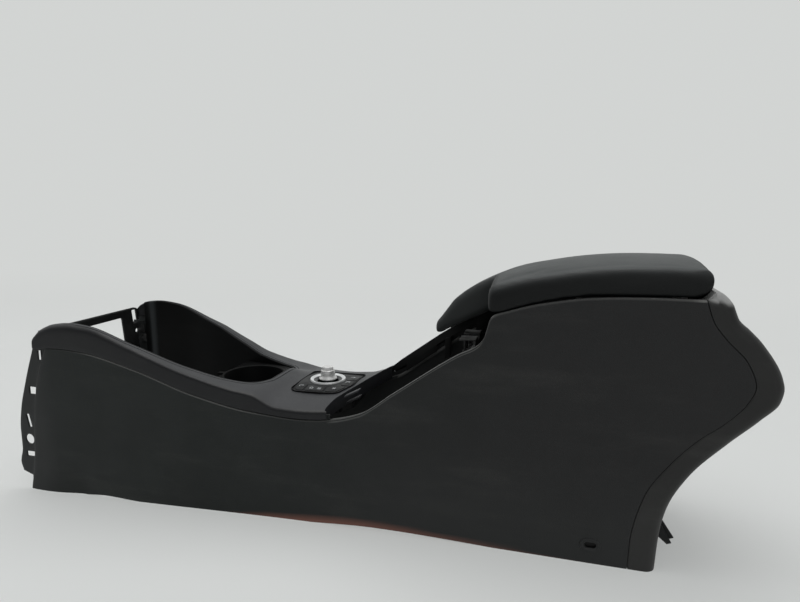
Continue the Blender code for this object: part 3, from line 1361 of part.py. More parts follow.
def main():
    clear_scene()
    shell = material("shell_plastic", (0.028, 0.032, 0.031), 0.62)
    trim = material("trim_plastic", (0.045, 0.048, 0.050), 0.48)
    inner = material("inner_plastic", (0.012, 0.013, 0.014), 0.55)
    gloss = material("key_plastic", (0.015, 0.015, 0.016), 0.25)
    light = material("ring_plastic", (0.42, 0.43, 0.44), 0.35)
    silver = material("knob_metal", (0.60, 0.61, 0.62), 0.30, 0.8)
    clear = material("knob_clear", (0.75, 0.76, 0.76), 0.12, 0.0, 0.8)
    rubber = material("rubber", (0.02, 0.02, 0.02), 0.85)
    board = material("board", (0.02, 0.09, 0.05), 0.5)
    steel = material("steel", (0.45, 0.45, 0.46), 0.35, 1.0)
    pad = material("pad_skin", (0.030, 0.036, 0.035), 0.55)
    side_panel("side_panel_left", -1, shell)
    side_panel("side_panel_right", 1, shell)
    front_frame(inner)
    top_trim(trim)
    bay_liner(inner)
    cup_holder(inner)
    cup_mat(rubber)
    controller_housing(inner)
    circuit_board(board)
    controller_plate(gloss)
    light_ring(light)
    dial_collar(gloss)
    for name, outline in KEYS.items():
        key(name, outline, gloss)
    joystick({"dark": inner, "silver": silver, "clear": clear})
    ramp_rail(trim)
    box_front_bracket(inner)
    storage_box(inner)
    box_mat(rubber)
    hinge_bracket(steel)
    hinge_pin(steel)
    armrest({"pad": pad})
    armrest_base(inner)
    lid_stop("lid_stop_left", -1, rubber)
    lid_stop("lid_stop_right", 1, rubber)
    rear_cover(shell)
    rear_bracket(inner)


if __name__ == "__main__":
    main()
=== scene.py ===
"""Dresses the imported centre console: moulded skins, padded armrest, controller and fittings."""
import math

import bmesh
import bpy
import numpy as np
from mathutils import Matrix, Vector


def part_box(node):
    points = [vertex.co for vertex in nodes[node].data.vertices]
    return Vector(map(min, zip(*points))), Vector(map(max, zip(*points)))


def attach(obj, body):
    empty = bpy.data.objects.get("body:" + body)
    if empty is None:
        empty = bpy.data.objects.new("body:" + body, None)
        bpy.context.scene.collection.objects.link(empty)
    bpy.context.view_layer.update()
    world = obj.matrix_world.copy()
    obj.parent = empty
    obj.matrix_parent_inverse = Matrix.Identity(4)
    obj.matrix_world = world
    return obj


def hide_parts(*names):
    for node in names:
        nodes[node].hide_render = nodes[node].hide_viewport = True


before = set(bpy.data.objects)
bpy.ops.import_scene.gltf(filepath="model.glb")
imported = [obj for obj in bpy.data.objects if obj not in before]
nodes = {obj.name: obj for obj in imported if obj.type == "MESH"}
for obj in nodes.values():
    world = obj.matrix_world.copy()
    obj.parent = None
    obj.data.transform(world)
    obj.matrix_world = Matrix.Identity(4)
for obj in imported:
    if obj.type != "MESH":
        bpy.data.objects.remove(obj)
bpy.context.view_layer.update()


# Studio
# The console stands on a pale floor in soft light, seen from the driver's side at the photograph's angle.
# The floor turns up into a pale wall, and the room is brighter overhead than in front.

LENS = 27.157
BACKDROP = (0.645, 0.66, 0.65)
ABOVE = (0.60, 0.615, 0.615)
BEFORE = (0.24, 0.24, 0.24)
BRIGHT_SIDE = (0.0, 0.35, 0.80)


def placed(name, data):
    """New object at the origin, in the scene."""
    made = bpy.data.objects.new(name, data)
    bpy.context.scene.collection.objects.link(made)
    return made


right = Vector((0.96493504, 0.26247083, -0.00306989))
up = Vector((-0.04016406, 0.15919458, 0.9864299))
ahead = Vector((-0.25939778, 0.95171748, -0.16415432))
view = Matrix((right, up, -ahead)).transposed().to_4x4()
view.translation = Vector((0.26554027, -0.76400841, 0.4137833))
camera = placed("camera", bpy.data.cameras.new("camera"))
camera.data.sensor_fit = "HORIZONTAL"
camera.data.sensor_width = 36
camera.data.lens = LENS
camera.data.clip_start = 0.01
camera.matrix_world = view
bpy.context.scene.camera = camera
bpy.context.scene.view_settings.view_transform = "Standard"


def lamp(name, place, target, size, power):
    """Square soft light aimed at a point."""
    made = placed(name, bpy.data.lights.new(name, "AREA"))
    made.data.size = size
    made.data.energy = power
    made.location = place
    made.rotation_euler = (Vector(target) - Vector(place)).to_track_quat("-Z", "Y").to_euler()


lamp("ceiling_light", (-0.05, 0.6, 3.2), (0, 0, 0.1), 3.2, 56)
lamp("window_light", (-2.8, 0.2, 1.9), (0, 0, 0.15), 2.4, 10)
lamp("room_light", (1.5, -2.6, 1.8), (0.1, 0, 0.1), 2.2, 15)


def feed(tree, socket, value):
    """Sets a socket to a number or a colour, or links another socket to it."""
    if isinstance(value, (int, float)):
        socket.default_value = value
    elif isinstance(value, tuple):
        socket.default_value = (*value, 1)
    else:
        tree.links.new(value, socket)


def figure(tree, operation, a, b, clamp=False):
    """Result of a Math node on sockets or numbers."""
    made = tree.nodes.new("ShaderNodeMath")
    made.operation = operation
    made.use_clamp = clamp
    feed(tree, made.inputs[0], a)
    feed(tree, made.inputs[1], b)
    return made.outputs[0]


def times(tree, a, b):
    return figure(tree, "MULTIPLY", a, b)


def noise(tree, vector, scale, detail=2.0, roughness=0.5):
    made = tree.nodes.new("ShaderNodeTexNoise")
    for socket, value in (("Vector", vector), ("Scale", scale), ("Detail", detail), ("Roughness", roughness)):
        feed(tree, made.inputs[socket], value)
    return made.outputs["Fac"]


def ramp(tree, value, low, high):
    """Smooth step from 0 at low to 1 at high."""
    made = tree.nodes.new("ShaderNodeMapRange")
    made.interpolation_type = "SMOOTHSTEP"
    for socket, given in (("Value", value), ("From Min", low), ("From Max", high)):
        feed(tree, made.inputs[socket], given)
    return made.outputs["Result"]


def split(tree, vector):
    """Outputs X, Y and Z of a vector."""
    made = tree.nodes.new("ShaderNodeSeparateXYZ")
    tree.links.new(vector, made.inputs[0])
    return made.outputs


def blend_colour(tree, share, a, b):
    made = tree.nodes.new("ShaderNodeMix")
    made.data_type = "RGBA"
    sockets = {s.name: s for s in made.inputs if s.enabled}
    for socket, value in (("Factor", share), ("A", a), ("B", b)):
        feed(tree, sockets[socket], value)
    return [s for s in made.outputs if s.enabled][0]


def new_material(name):
    """Plain material, as (material, tree, shader, outputs of its Texture Coordinate)."""
    made = bpy.data.materials.new(name)
    made.use_nodes = True
    tree = made.node_tree
    return made, tree, tree.nodes["Principled BSDF"], tree.nodes.new("ShaderNodeTexCoord").outputs


world = bpy.data.worlds.new("room")
bpy.context.scene.world = world
world.use_nodes = True
room = world.node_tree
lean = room.nodes.new("ShaderNodeVectorMath")
lean.operation = "DOT_PRODUCT"
lean.inputs[1].default_value = BRIGHT_SIDE
room.links.new(room.nodes.new("ShaderNodeTexCoord").outputs["Generated"], lean.inputs[0])
sky_colour = blend_colour(room, ramp(room, lean.outputs["Value"], -0.30, 0.85), BEFORE, ABOVE)
seen = room.nodes.new("ShaderNodeLightPath").outputs["Is Camera Ray"]
sky = room.nodes["Background"]
room.links.new(blend_colour(room, seen, sky_colour, BACKDROP), sky.inputs["Color"])
sky.inputs["Strength"].default_value = 1.0


def floor_material():
    """Pale painted boards, even, with faint marks, that turn into a pale wall behind."""
    made, tree, shader, place = new_material("pale_floor")
    tone = blend_colour(tree, noise(tree, place["Object"], 2.2, 3), (0.66, 0.67, 0.665), (0.70, 0.71, 0.70))
    tree.links.new(tone, shader.inputs["Base Color"])
    shader.inputs["Roughness"].default_value = 0.7
    wall = tree.nodes.new("ShaderNodeEmission")
    wall.inputs["Color"].default_value = (*BACKDROP, 1)
    wall.inputs["Strength"].default_value = 1.0
    share = ramp(tree, split(tree, place["Object"])["Y"], 0.35, 1.9)
    share.node.inputs["To Min"].default_value = 0.42
    rays = tree.nodes.new("ShaderNodeLightPath").outputs
    shown = rays["Is Camera Ray"]
    for kind in ("Is Glossy Ray", "Is Transmission Ray"):
        shown = figure(tree, "MAXIMUM", shown, rays[kind])
    mixed = tree.nodes.new("ShaderNodeMixShader")
    tree.links.new(times(tree, shown, share), mixed.inputs["Fac"])
    tree.links.new(shader.outputs["BSDF"], mixed.inputs[1])
    tree.links.new(wall.outputs["Emission"], mixed.inputs[2])
    tree.links.new(mixed.outputs["Shader"], tree.nodes["Material Output"].inputs["Surface"])
    return made


floor_mesh = bpy.data.meshes.new("studio_floor")
sweep = [(-3.4, 0.0), (1.6, 0.0), (2.05, 0.05), (2.4, 0.28), (2.6, 0.7), (2.7, 1.4), (2.7, 3.6)]
floor_mesh.from_pydata(
    [(x, y, z) for y, z in sweep for x in (-5.0, 5.0)], [],
    [(2 * i, 2 * i + 1, 2 * i + 3, 2 * i + 2) for i in range(len(sweep) - 1)],
)
floor_mesh.materials.append(floor_material())
floor = placed("studio_floor", floor_mesh)
bend = floor.modifiers.new("curve", "SUBSURF")
bend.levels = bend.render_levels = 3
floor_mesh.shade_smooth()


# Side panels
# Moulded in grained dark plastic, with a turned-in lip along the ramp and a stepped flange in front whose
# slots and holes take the dashboard's clips. The driver's foot bulges, with a dent behind it.

LENGTH = 975.0
PANEL_COLOUR = (0.0112, 0.0138, 0.0132)
# Painted light: the tone the panels are painted towards the rear, lighter and warmer.
PANEL_LIT_REAR = (0.0140, 0.0142, 0.0146)
PANEL_ROUGHNESS = 0.56
PANEL_WALL = 2.5


def through(points, at):
    """Value at a place of a monotone cubic through (place, value) points."""
    xs, ys = np.array(points, float).T
    steps = np.diff(xs)
    slopes = np.diff(ys) / steps
    tangents = np.zeros(len(xs))
    tangents[0], tangents[-1] = slopes[0], slopes[-1]
    for i in range(1, len(xs) - 1):
        before, after = slopes[i - 1], slopes[i]
        if before * after > 0:
            w1 = 2 * steps[i] + steps[i - 1]
            w2 = steps[i] + 2 * steps[i - 1]
            tangents[i] = (w1 + w2) / (w1 / before + w2 / after)
    at = np.clip(np.asarray(at, float), xs[0], xs[-1])
    i = np.clip(np.searchsorted(xs, at) - 1, 0, len(xs) - 2)
    t = (at - xs[i]) / steps[i]
    return (
        ys[i] * (1 + 2 * t) * (1 - t) ** 2
        + tangents[i] * steps[i] * t * (1 - t) ** 2
        + ys[i + 1] * t * t * (3 - 2 * t)
        + tangents[i + 1] * steps[i] * t * t * (t - 1)
    )


def paced(points, shares):
    """Points at shares of the way along a smooth line; a whole number gives that many even ones."""
    points = np.array(points, float)
    chords = np.r_[0, np.cumsum(np.linalg.norm(np.diff(points, axis=0), axis=1))]
    fine = np.linspace(0, chords[-1], 1600)
    line = np.stack([through(list(zip(chords, p)), fine) for p in points.T], -1)
    run = np.r_[0, np.cumsum(np.linalg.norm(np.diff(line, axis=0), axis=1))]
    shares = np.linspace(0, 1, shares) if isinstance(shares, int) else np.asarray(shares)
    return np.stack([np.interp(shares * run[-1], run, p) for p in line.T], -1)


def beside(line, by):
    """The line moved sideways by a distance, to the left of its run."""
    run = np.gradient(line, axis=0)
    run /= np.linalg.norm(run, axis=1)[:, None]
    return line + by * np.stack([-run[:, 1], run[:, 0]], -1)


WIDTH_LINE = [(0, 110), (122, 109), (455, 95), (595, 93), (897, 98), (975, 96)]
PANEL_TOP_LINE = [
    (40, 211), (85, 213), (123, 210.5), (205, 191), (289, 162.5), (371, 145), (440, 140), (475, 142.5),
    (516, 153), (560, 183), (639, 236.5), (661, 248.5), (668.5, 258.5), (672, 270), (674.5, 279.5),
    (679, 284.8), (696, 291), (717, 297.4), (735, 301.6), (785, 309.4), (820, 311.3), (858, 312.0),
    (895, 311.6),
]
FLOOR_LINE = [(21, 2.5), (60, 1), (92, 1), (144, 6), (200, 3), (262, 0), (320, 0), (400, 1), (534, 6.5),
              (640, 4.5), (735, 1.5), (800, 0), (975, 0)]
CREASE = [(21, 2.5), (29, 40), (37, 112), (48, 170), (66, 212)]
FLANGE_EDGE = [(4, 2.5), (4, 24), (0, 40), (5, 62), (5, 89), (9, 118), (23, 165), (40, 212)]
SCREW_STATION = 795
SCREW_HEIGHT = 25.5
REAR_SEAM = [(835, 0), (836, 35), (848, 92), (868, 127), (899, 163.5), (922, 183), (942, 207), (948, 223),
             (939, 247.5), (917, 271.5), (904, 289), (896, 311.6)]


def half_width(station, height=0.0):
    """From the middle to the panel's outer face, with the foot's bulge and the dent behind it."""
    foot = 4.0 * np.exp(-(((station - 48) / 40) ** 2) - (height / 34) ** 2)
    dent = 3.5 * np.exp(-(((station - 106) / 20) ** 2) - ((height - 18) / 26) ** 2)
    return through(WIDTH_LINE, station) - 3.0 * (height / 309.0) ** 2 + foot - dent


def panel_top(station):
    return through(PANEL_TOP_LINE, station)


CENTRE = np.array([LENGTH / 2, 0, 0])


def metres(points):
    """Points of (station from the front, across, height) in millimetres, in the console's frame in metres."""
    return (np.asarray(points, float) - CENTRE) * 0.001


def points_of(mesh):
    """A mesh's points as (station, across, height) in millimetres."""
    points = np.zeros(len(mesh.vertices) * 3)
    mesh.vertices.foreach_get("co", points)
    return points.reshape(-1, 3) * 1000 + CENTRE


def shaded(mesh, angle):
    """Smooth shading, sharp at edges over an angle."""
    mesh.shade_smooth()
    mesh.set_sharp_from_angle(angle=math.radians(angle))


def solid(name, points, faces, smooth=38):
    mesh = bpy.data.meshes.new(name)
    mesh.from_pydata([tuple(p) for p in metres(points)], [], faces)
    mesh.validate()
    shaded(mesh, smooth)
    return placed(name, mesh)


def shell(name, outer, inner, smooth=38):
    """Closed wall between two grids of points; its outer faces point to the left of rows and columns."""
    rows, columns = outer.shape[:2]
    size = rows * columns
    faces = []
    for i in range(rows - 1):
        for j in range(columns - 1):
            a, b = i * columns + j, (i + 1) * columns + j
            faces += [(a, b, b + 1, a + 1), (size + a + 1, size + b + 1, size + b, size + a)]
    rim = [(i, 0) for i in range(rows)] + [(rows - 1, j) for j in range(1, columns)]
    rim += [(i, columns - 1) for i in range(rows - 2, -1, -1)] + [(0, j) for j in range(columns - 2, 0, -1)]
    rim = [i * columns + j for i, j in rim]
    faces += [(b, a, size + a, size + b) for a, b in zip(rim, rim[1:] + rim[:1])]
    return solid(name, np.concatenate([outer.reshape(-1, 3), inner.reshape(-1, 3)]), faces, smooth)


def outward(made):
    turn = bmesh.new()
    turn.from_mesh(made.data)
    bmesh.ops.remove_doubles(turn, verts=turn.verts, dist=1e-6)
    bmesh.ops.recalc_face_normals(turn, faces=turn.faces)
    turn.to_mesh(made.data)
    turn.free()
    return made


def bar(name, rings, closed=False, smooth=38):
    """Closed body lofted through rings of points."""
    rings = np.array(rings, float)
    count, size = rings.shape[:2]
    faces = []
    for i in range(count if closed else count - 1):
        k = (i + 1) % count
        faces += [(i * size + j, i * size + (j + 1) % size, k * size + (j + 1) % size, k * size + j)
                  for j in range(size)]
    if not closed:
        faces += [tuple(range(size))[::-1], tuple((count - 1) * size + j for j in range(size))]
    return outward(solid(name, rings.reshape(-1, 3), faces, smooth))


def column(name, outline, along, low, high):
    """An outline carried straight along X, Y or Z."""
    place = "XYZ".index(along)
    outline = [np.array(p, float) for p in outline]
    return bar(name, [[tuple(np.insert(p, place, level)) for p in outline] for level in (low, high)])


def rounded(corners, radius, steps=5):
    outline = []
    radii = radius if isinstance(radius, list) else [radius] * len(corners)
    for i, r in enumerate(radii):
        here = Vector(corners[i])
        back = (Vector(corners[i - 1]) - here).normalized()
        on = (Vector(corners[(i + 1) % len(corners)]) - here).normalized()
        if r <= 0:
            outline.append(tuple(here))
            continue
        half = back.angle(on) / 2
        centre = here + (back + on).normalized() * (r / math.sin(half))
        start = here + back * (r / math.tan(half)) - centre
        sense = 1 if back.x * on.y - back.y * on.x < 0 else -1
        for k in range(steps + 1):
            a = sense * (math.pi - 2 * half) * k / steps
            outline.append((centre.x + math.cos(a) * start.x - math.sin(a) * start.y,
                            centre.y + math.sin(a) * start.x + math.cos(a) * start.y))
    return outline


def block(x0, y0, x1, y1, radius=0.0):
    return rounded([(x0, y0), (x1, y0), (x1, y1), (x0, y1)], radius)


def disc(x, y, radius, steps=32):
    return [(x + radius * math.cos(2 * math.pi * k / steps), y + radius * math.sin(2 * math.pi * k / steps))
            for k in range(steps)]


def merged(name, *parts, smooth=45):
    """One mesh of several objects, which are removed."""
    whole = bmesh.new()
    for part in parts:
        whole.from_mesh(part.data)
        bpy.data.objects.remove(part)
    mesh = bpy.data.meshes.new(name)
    whole.to_mesh(mesh)
    whole.free()
    if smooth:
        shaded(mesh, smooth)
    return placed(name, mesh)


def evaluated(made):
    """Plain mesh of an object with its modifiers."""
    return bpy.data.meshes.new_from_object(made.evaluated_get(bpy.context.evaluated_depsgraph_get()))


def settled(made, smooth=38):
    """Applies the modifiers, and sets smooth and sharp edges again."""
    shape = evaluated(made)
    made.modifiers.clear()
    old = made.data
    made.data = shape
    shape.name = made.name
    bpy.data.meshes.remove(old)
    shaded(shape, smooth)
    return made


def cut_away(made, *cutters):
    for cutter in cutters:
        step = made.modifiers.new("cut", "BOOLEAN")
        step.operation = "DIFFERENCE"
        step.solver = "EXACT"
        step.object = cutter
    bpy.context.view_layer.update()
    settled(made)
    for cutter in cutters:
        bpy.data.objects.remove(cutter)
    return made


def eased(made, width, segments=2, angle=42):
    """Small rounding on every sharp edge."""
    step = made.modifiers.new("ease", "BEVEL")
    step.width = width * 0.001
    step.segments = segments
    step.limit_method = "ANGLE"
    step.angle_limit = math.radians(angle)
    step.use_clamp_overlap = True
    step.miter_outer = "MITER_ARC"
    return settled(made, 50)


def node_group(name, inputs, outputs):
    """Empty shader group with its sockets, as (group, inputs node, outputs node)."""
    group = bpy.data.node_groups.new(name, "ShaderNodeTree")
    for socket, kind, value in inputs:
        made = group.interface.new_socket(name=socket, in_out="INPUT", socket_type=kind)
        made.default_value = value
    for socket, kind in outputs:
        group.interface.new_socket(name=socket, in_out="OUTPUT", socket_type=kind)
    return group, group.nodes.new("NodeGroupInput"), group.nodes.new("NodeGroupOutput")


def grain_group():
    """Spark-eroded leather grain of a moulded panel: rounded cells with finer pits between."""
    group, given, result = node_group(
        "moulded_grain", [("Cells", "NodeSocketFloat", 900.0)], [("Height", "NodeSocketFloat")])
    spot = group.nodes.new("ShaderNodeTexCoord").outputs["Object"]
    cells = group.nodes.new("ShaderNodeTexVoronoi")
    cells.feature = "SMOOTH_F1"
    cells.inputs["Smoothness"].default_value = 0.5
    group.links.new(spot, cells.inputs["Vector"])
    group.links.new(given.outputs["Cells"], cells.inputs["Scale"])
    pits = noise(group, spot, times(group, given.outputs["Cells"], 2.3), 1)
    height = figure(group, "ADD", times(group, cells.outputs["Distance"], 0.9), times(group, pits, 0.5))
    group.links.new(height, result.inputs["Height"])
    return group


def dust_group():
    """Dust that settles on what faces up, in uneven patches, and wiped smears on upright faces."""
    group, given, result = node_group(
        "settled_dust", [("Amount", "NodeSocketFloat", 0.5), ("Smears", "NodeSocketFloat", 0.3)],
        [("Mask", "NodeSocketFloat")])
    place = group.nodes.new("ShaderNodeTexCoord").outputs
    level = ramp(group, split(group, place["Normal"])["Z"], 0.3, 0.95)
    patch = ramp(group, noise(group, place["Object"], 14.0, 5, 0.6), 0.38, 0.66)
    specks = ramp(group, noise(group, place["Object"], 420.0, 2, 0.6), 0.52, 0.72)
    stretched = group.nodes.new("ShaderNodeMapping")
    stretched.inputs["Scale"].default_value = (3.0, 9.0, 14.0)
    stretched.inputs["Rotation"].default_value = (0, 0.5, 0)
    group.links.new(place["Object"], stretched.inputs["Vector"])
    smear = ramp(group, noise(group, stretched.outputs["Vector"], 1.6, 6, 0.62), 0.50, 0.74)
    half_specks = times(group, specks, 0.5)
    lying = times(group, times(group, level, given.outputs["Amount"]),
                  figure(group, "ADD", times(group, patch, 0.6), half_specks))
    wiped = times(group, times(group, smear, given.outputs["Smears"]), figure(group, "ADD", half_specks, 0.5))
    group.links.new(figure(group, "ADD", lying, wiped, True), result.inputs["Mask"])
    return group


GRAIN = grain_group()
DUST = dust_group()


def grained(tree, shader, cells, depth):
    """Gives a shader the moulded grain as a bump."""
    grain = tree.nodes.new("ShaderNodeGroup")
    grain.node_tree = GRAIN
    grain.inputs["Cells"].default_value = cells
    bump = tree.nodes.new("ShaderNodeBump")
    bump.inputs["Strength"].default_value = depth
    bump.inputs["Distance"].default_value = 0.0004
    tree.links.new(grain.outputs["Height"], bump.inputs["Height"])
    tree.links.new(bump.outputs["Normal"], shader.inputs["Normal"])


def kept_mark(tree, mark):
    held = tree.nodes.new("ShaderNodeAttribute")
    held.attribute_name = mark
    return held.outputs["Fac"]


def moulded(name, colour, roughness, cells=900.0, depth=0.12, dust=0.35, smears=0.2, lit_rear=None, gloss=0.4,
            dust_colour=(0.20, 0.195, 0.18), marks=()):
    """Plastic with its grain, slight unevenness of tone and gloss, dust, and marks kept in attributes."""
    made, tree, shader, place = new_material(name)
    spot = place["Object"]
    tone = noise(tree, spot, 7.0, 4, 0.55)
    dark = tuple(c * 0.86 for c in colour)
    light = tuple(c * 1.16 for c in colour)
    base = blend_colour(tree, ramp(tree, tone, 0.3, 0.7), dark, light)
    # Painted light: an optional colour that the plastic shifts to towards the rear, along X.
    if lit_rear:
        along = figure(tree, "ADD", split(tree, spot)["X"], times(tree, tone, 0.25))
        base = blend_colour(tree, ramp(tree, along, -0.1, 0.45), base, lit_rear)
    grime = tree.nodes.new("ShaderNodeGroup")
    grime.node_tree = DUST
    grime.inputs["Amount"].default_value = dust
    grime.inputs["Smears"].default_value = smears
    base = blend_colour(tree, times(tree, grime.outputs["Mask"], 0.35), base, dust_colour)
    for mark, colour_there in marks:
        base = blend_colour(tree, kept_mark(tree, mark), base, colour_there)
    tree.links.new(base, shader.inputs["Base Color"])
    uneven = times(tree, ramp(tree, noise(tree, spot, 22.0, 4, 0.6), 0.3, 0.7), 0.07)
    rough = figure(tree, "ADD", uneven, times(tree, grime.outputs["Mask"], 0.15))
    tree.links.new(figure(tree, "ADD", rough, roughness - 0.03, True), shader.inputs["Roughness"])
    shader.inputs["Specular IOR Level"].default_value = gloss
    grained(tree, shader, cells, depth)
    return made


def marked(made, mark, strength):
    """Keeps a mark's strength, from 0 to 1, at every point: strength(stations, across, heights)."""
    held = made.data.attributes.new(mark, "FLOAT", "POINT")
    held.data.foreach_set("value", np.clip(strength(*points_of(made.data).T), 0, 1).astype(np.float32))


def coated(mesh, material):
    mesh.materials.clear()
    mesh.materials.append(material)


def dress(made, material, body, slot, *replaced):
    """Gives a finished piece its material, and says what it rides on and stands for."""
    coated(made.data, material)
    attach(made, body)
    if replaced:
        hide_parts(*replaced)


LIP = ((0.5, 0.35), (1.2, 0.5), (-0.8, 0.5), (-0.1, 0.1), (0, -0.8), (0, None))


def panel_skin():
    """Driver's side skin and its inner face, as two grids that run back along the panel and up."""
    top_s = np.r_[np.linspace(66, 640, 150), np.linspace(640, 700, 40)[1:], np.linspace(700, 903, 50)[1:]]
    u = (top_s - top_s[0]) / (top_s[-1] - top_s[0])
    v = np.r_[np.linspace(0, 0.16, 14), np.linspace(0.16, 0.9, 34)[1:], np.linspace(0.9, 0.985, 8)[1:],
              [0.990, 0.9935, 0.997, 1.0]]
    floor_s = 21 + u * (842 - 21)
    foot = np.stack([floor_s, through(FLOOR_LINE, floor_s)], -1)
    top = np.stack([top_s, panel_top(top_s)], -1)
    reach = np.minimum(75, np.minimum(top_s - top_s[0], top_s[-1] - top_s))
    calm = top.copy()
    calm[:, 1] = np.mean([panel_top(top_s + reach * share) for share in np.linspace(-1, 1, 15)], axis=0)
    front = paced(CREASE, v)
    rear = paced([(s + 7, z) for s, z in REAR_SEAM], v)
    u, v = u[:, None, None], v[None, :, None]
    flat = (
        (1 - v) * foot[:, None] + v * calm[:, None] + (1 - u) * front[None] + u * rear[None]
        - (1 - u) * (1 - v) * foot[0] - u * (1 - v) * foot[-1]
        - (1 - u) * v * top[0] - u * v * top[-1] + v ** 5 * (top - calm)[:, None]
    )
    edge = paced(FLANGE_EDGE, v[0, :, 0])
    shares = np.array([0, 0.2, 0.4, 0.6, 0.76, 0.82, 0.88, 0.94])
    step_in = np.array([3, 3, 3, 3, 3, 2.6, 1.5, 0.4])
    flat = np.concatenate([np.array([edge + (flat[0] - edge) * share for share in shares]), flat])
    across = half_width(flat[..., 0], flat[..., 1])
    across[:8] -= step_in[:, None]
    outer = np.stack([flat[..., 0], -across, flat[..., 1]], -1)
    inner = outer + np.array([0, PANEL_WALL, 0])
    wide = 2.9 + 5.1 * np.clip((outer[:, -1, 0] - 472) / 10, 0, 1)
    deep = 2.4 + 2.6 * np.clip((outer[:, -1, 0] - 472) / 10, 0, 1)
    edge = outer[:, -1]
    lips, unders = [], []
    for k, (reach_in, lift) in enumerate(LIP):
        row = edge.copy()
        row[:, 1] += reach_in if k < 2 else wide + reach_in
        row[:, 2] += -deep if lift is None else lift
        lips.append(row)
        under = edge.copy()
        under[:, 1] += PANEL_WALL if k < 2 else np.maximum(PANEL_WALL, wide - 2.2)
        under[:, 2] += -deep if lift is None else -2.1
        unders.append(under)
    inner[:, -1, 2] -= 2.1
    outer = np.concatenate([outer, np.stack(lips, 1)], 1)
    inner = np.concatenate([inner, np.stack(unders, 1)], 1)
    return outer, inner


def strip_beside(side, stations, section):
    rings = []
    for s in stations:
        top = float(panel_top(s))
        outer = float(half_width(s, top))
        rings.append([(s, side * (outer - inward), top + lift) for inward, lift in section])
    return bar("strip", rings)


def painted_foot_reflection(s, y, z):
    """Painted reflection: a reddish band on the rolled lower edge, widest under the ramp."""
    thick = through([(285, 0), (330, 3.5), (400, 8.5), (470, 10), (534, 9), (620, 6), (735, 3.5),
                     (835, 0.5)], s)
    rise = z - through(FLOOR_LINE, s)
    strong = through([(285, 0), (340, 0.5), (420, 1), (520, 0.9), (640, 0.6), (760, 0.45), (838, 0)], s)
    return strong * np.clip(1.15 - rise / np.maximum(thick, 0.1), 0, 1)


def edge_highlight_and_wear(s, y, z):
    """Thin pale line along the upper edge: a painted highlight where the rounded edge catches the light,
    partly rubbed wear; stronger along the ramp's two lip edges.
    """
    outer = half_width(s, panel_top(s)) - np.abs(y)
    rise = z - panel_top(s)
    ramp_side = (s > 476) & (s < 676)
    low, high = np.where(ramp_side, -2.6, -1.7), np.where(ramp_side, -1.0, 0.8)
    face = np.clip((rise - low) / 0.6, 0, 1) * np.clip((high - rise) / 0.6, 0, 1) * (outer < 1.4)
    inner = np.clip(1.2 - np.abs(outer - 7.7) / 1.1, 0, 1) * (rise > -1.0) * ramp_side
    strong = through([(60, 0), (110, 0.1), (150, 0.55), (330, 0.55), (420, 0.15), (474, 0.1), (482, 0.55),
                      (600, 0.5), (668, 0.6), (690, 0.25), (760, 0.22), (880, 0.35), (892, 1)], s)
    return np.maximum(face * strong, inner * 0.9)


def paler(s, y, z):
    """Skin scuffed paler at the front flange and along the low rear."""
    front = np.clip((72 - s) / 26, 0, 1)
    low_rear = 0.75 * np.clip((120 - z) / 110, 0, 1) * np.clip((s - 470) / 130, 0, 1)
    return np.maximum(front, low_rear)


def painted_well_shade(s, y, z):
    """Painted shade in the screw's oval well, dark from its rim inwards."""
    deep = half_width(SCREW_STATION, SCREW_HEIGHT) - np.abs(y)
    inside = (np.abs(s - SCREW_STATION) < 11) * (np.abs(z - SCREW_HEIGHT) < 7.5)
    return inside * np.clip((deep - 0.3) / 0.6, 0, 1)


# The panel's marks paint a reddish reflection along the rolled lower edge.
# They paint a pale highlight along the rounded upper edge, partly rubbed wear.
# They paint shade inside the screw's oval well and on the plate at its bottom.
panel_plastic = moulded(
    "panel_plastic", PANEL_COLOUR, PANEL_ROUGHNESS, 820, 0.30, 0.35, 0.25, PANEL_LIT_REAR, gloss=0.28,
    marks=(("paler", (0.0225, 0.0240, 0.0240)), ("painted_foot_reflection", (0.19, 0.088, 0.066)),
           ("edge_highlight_and_wear", (0.15, 0.15, 0.145)), ("painted_well_shade", (0.0012, 0.0012, 0.0012))))
SCREW_RING = ((7.0, 3.8, -1.4), (7.0, 3.8, -0.2), (8.0, 4.6, 0.7), (9.6, 6.2, 1.2), (11.4, 7.6, 0.9),
              (12.0, 8.2, -0.4), (12.0, 8.2, -1.4))

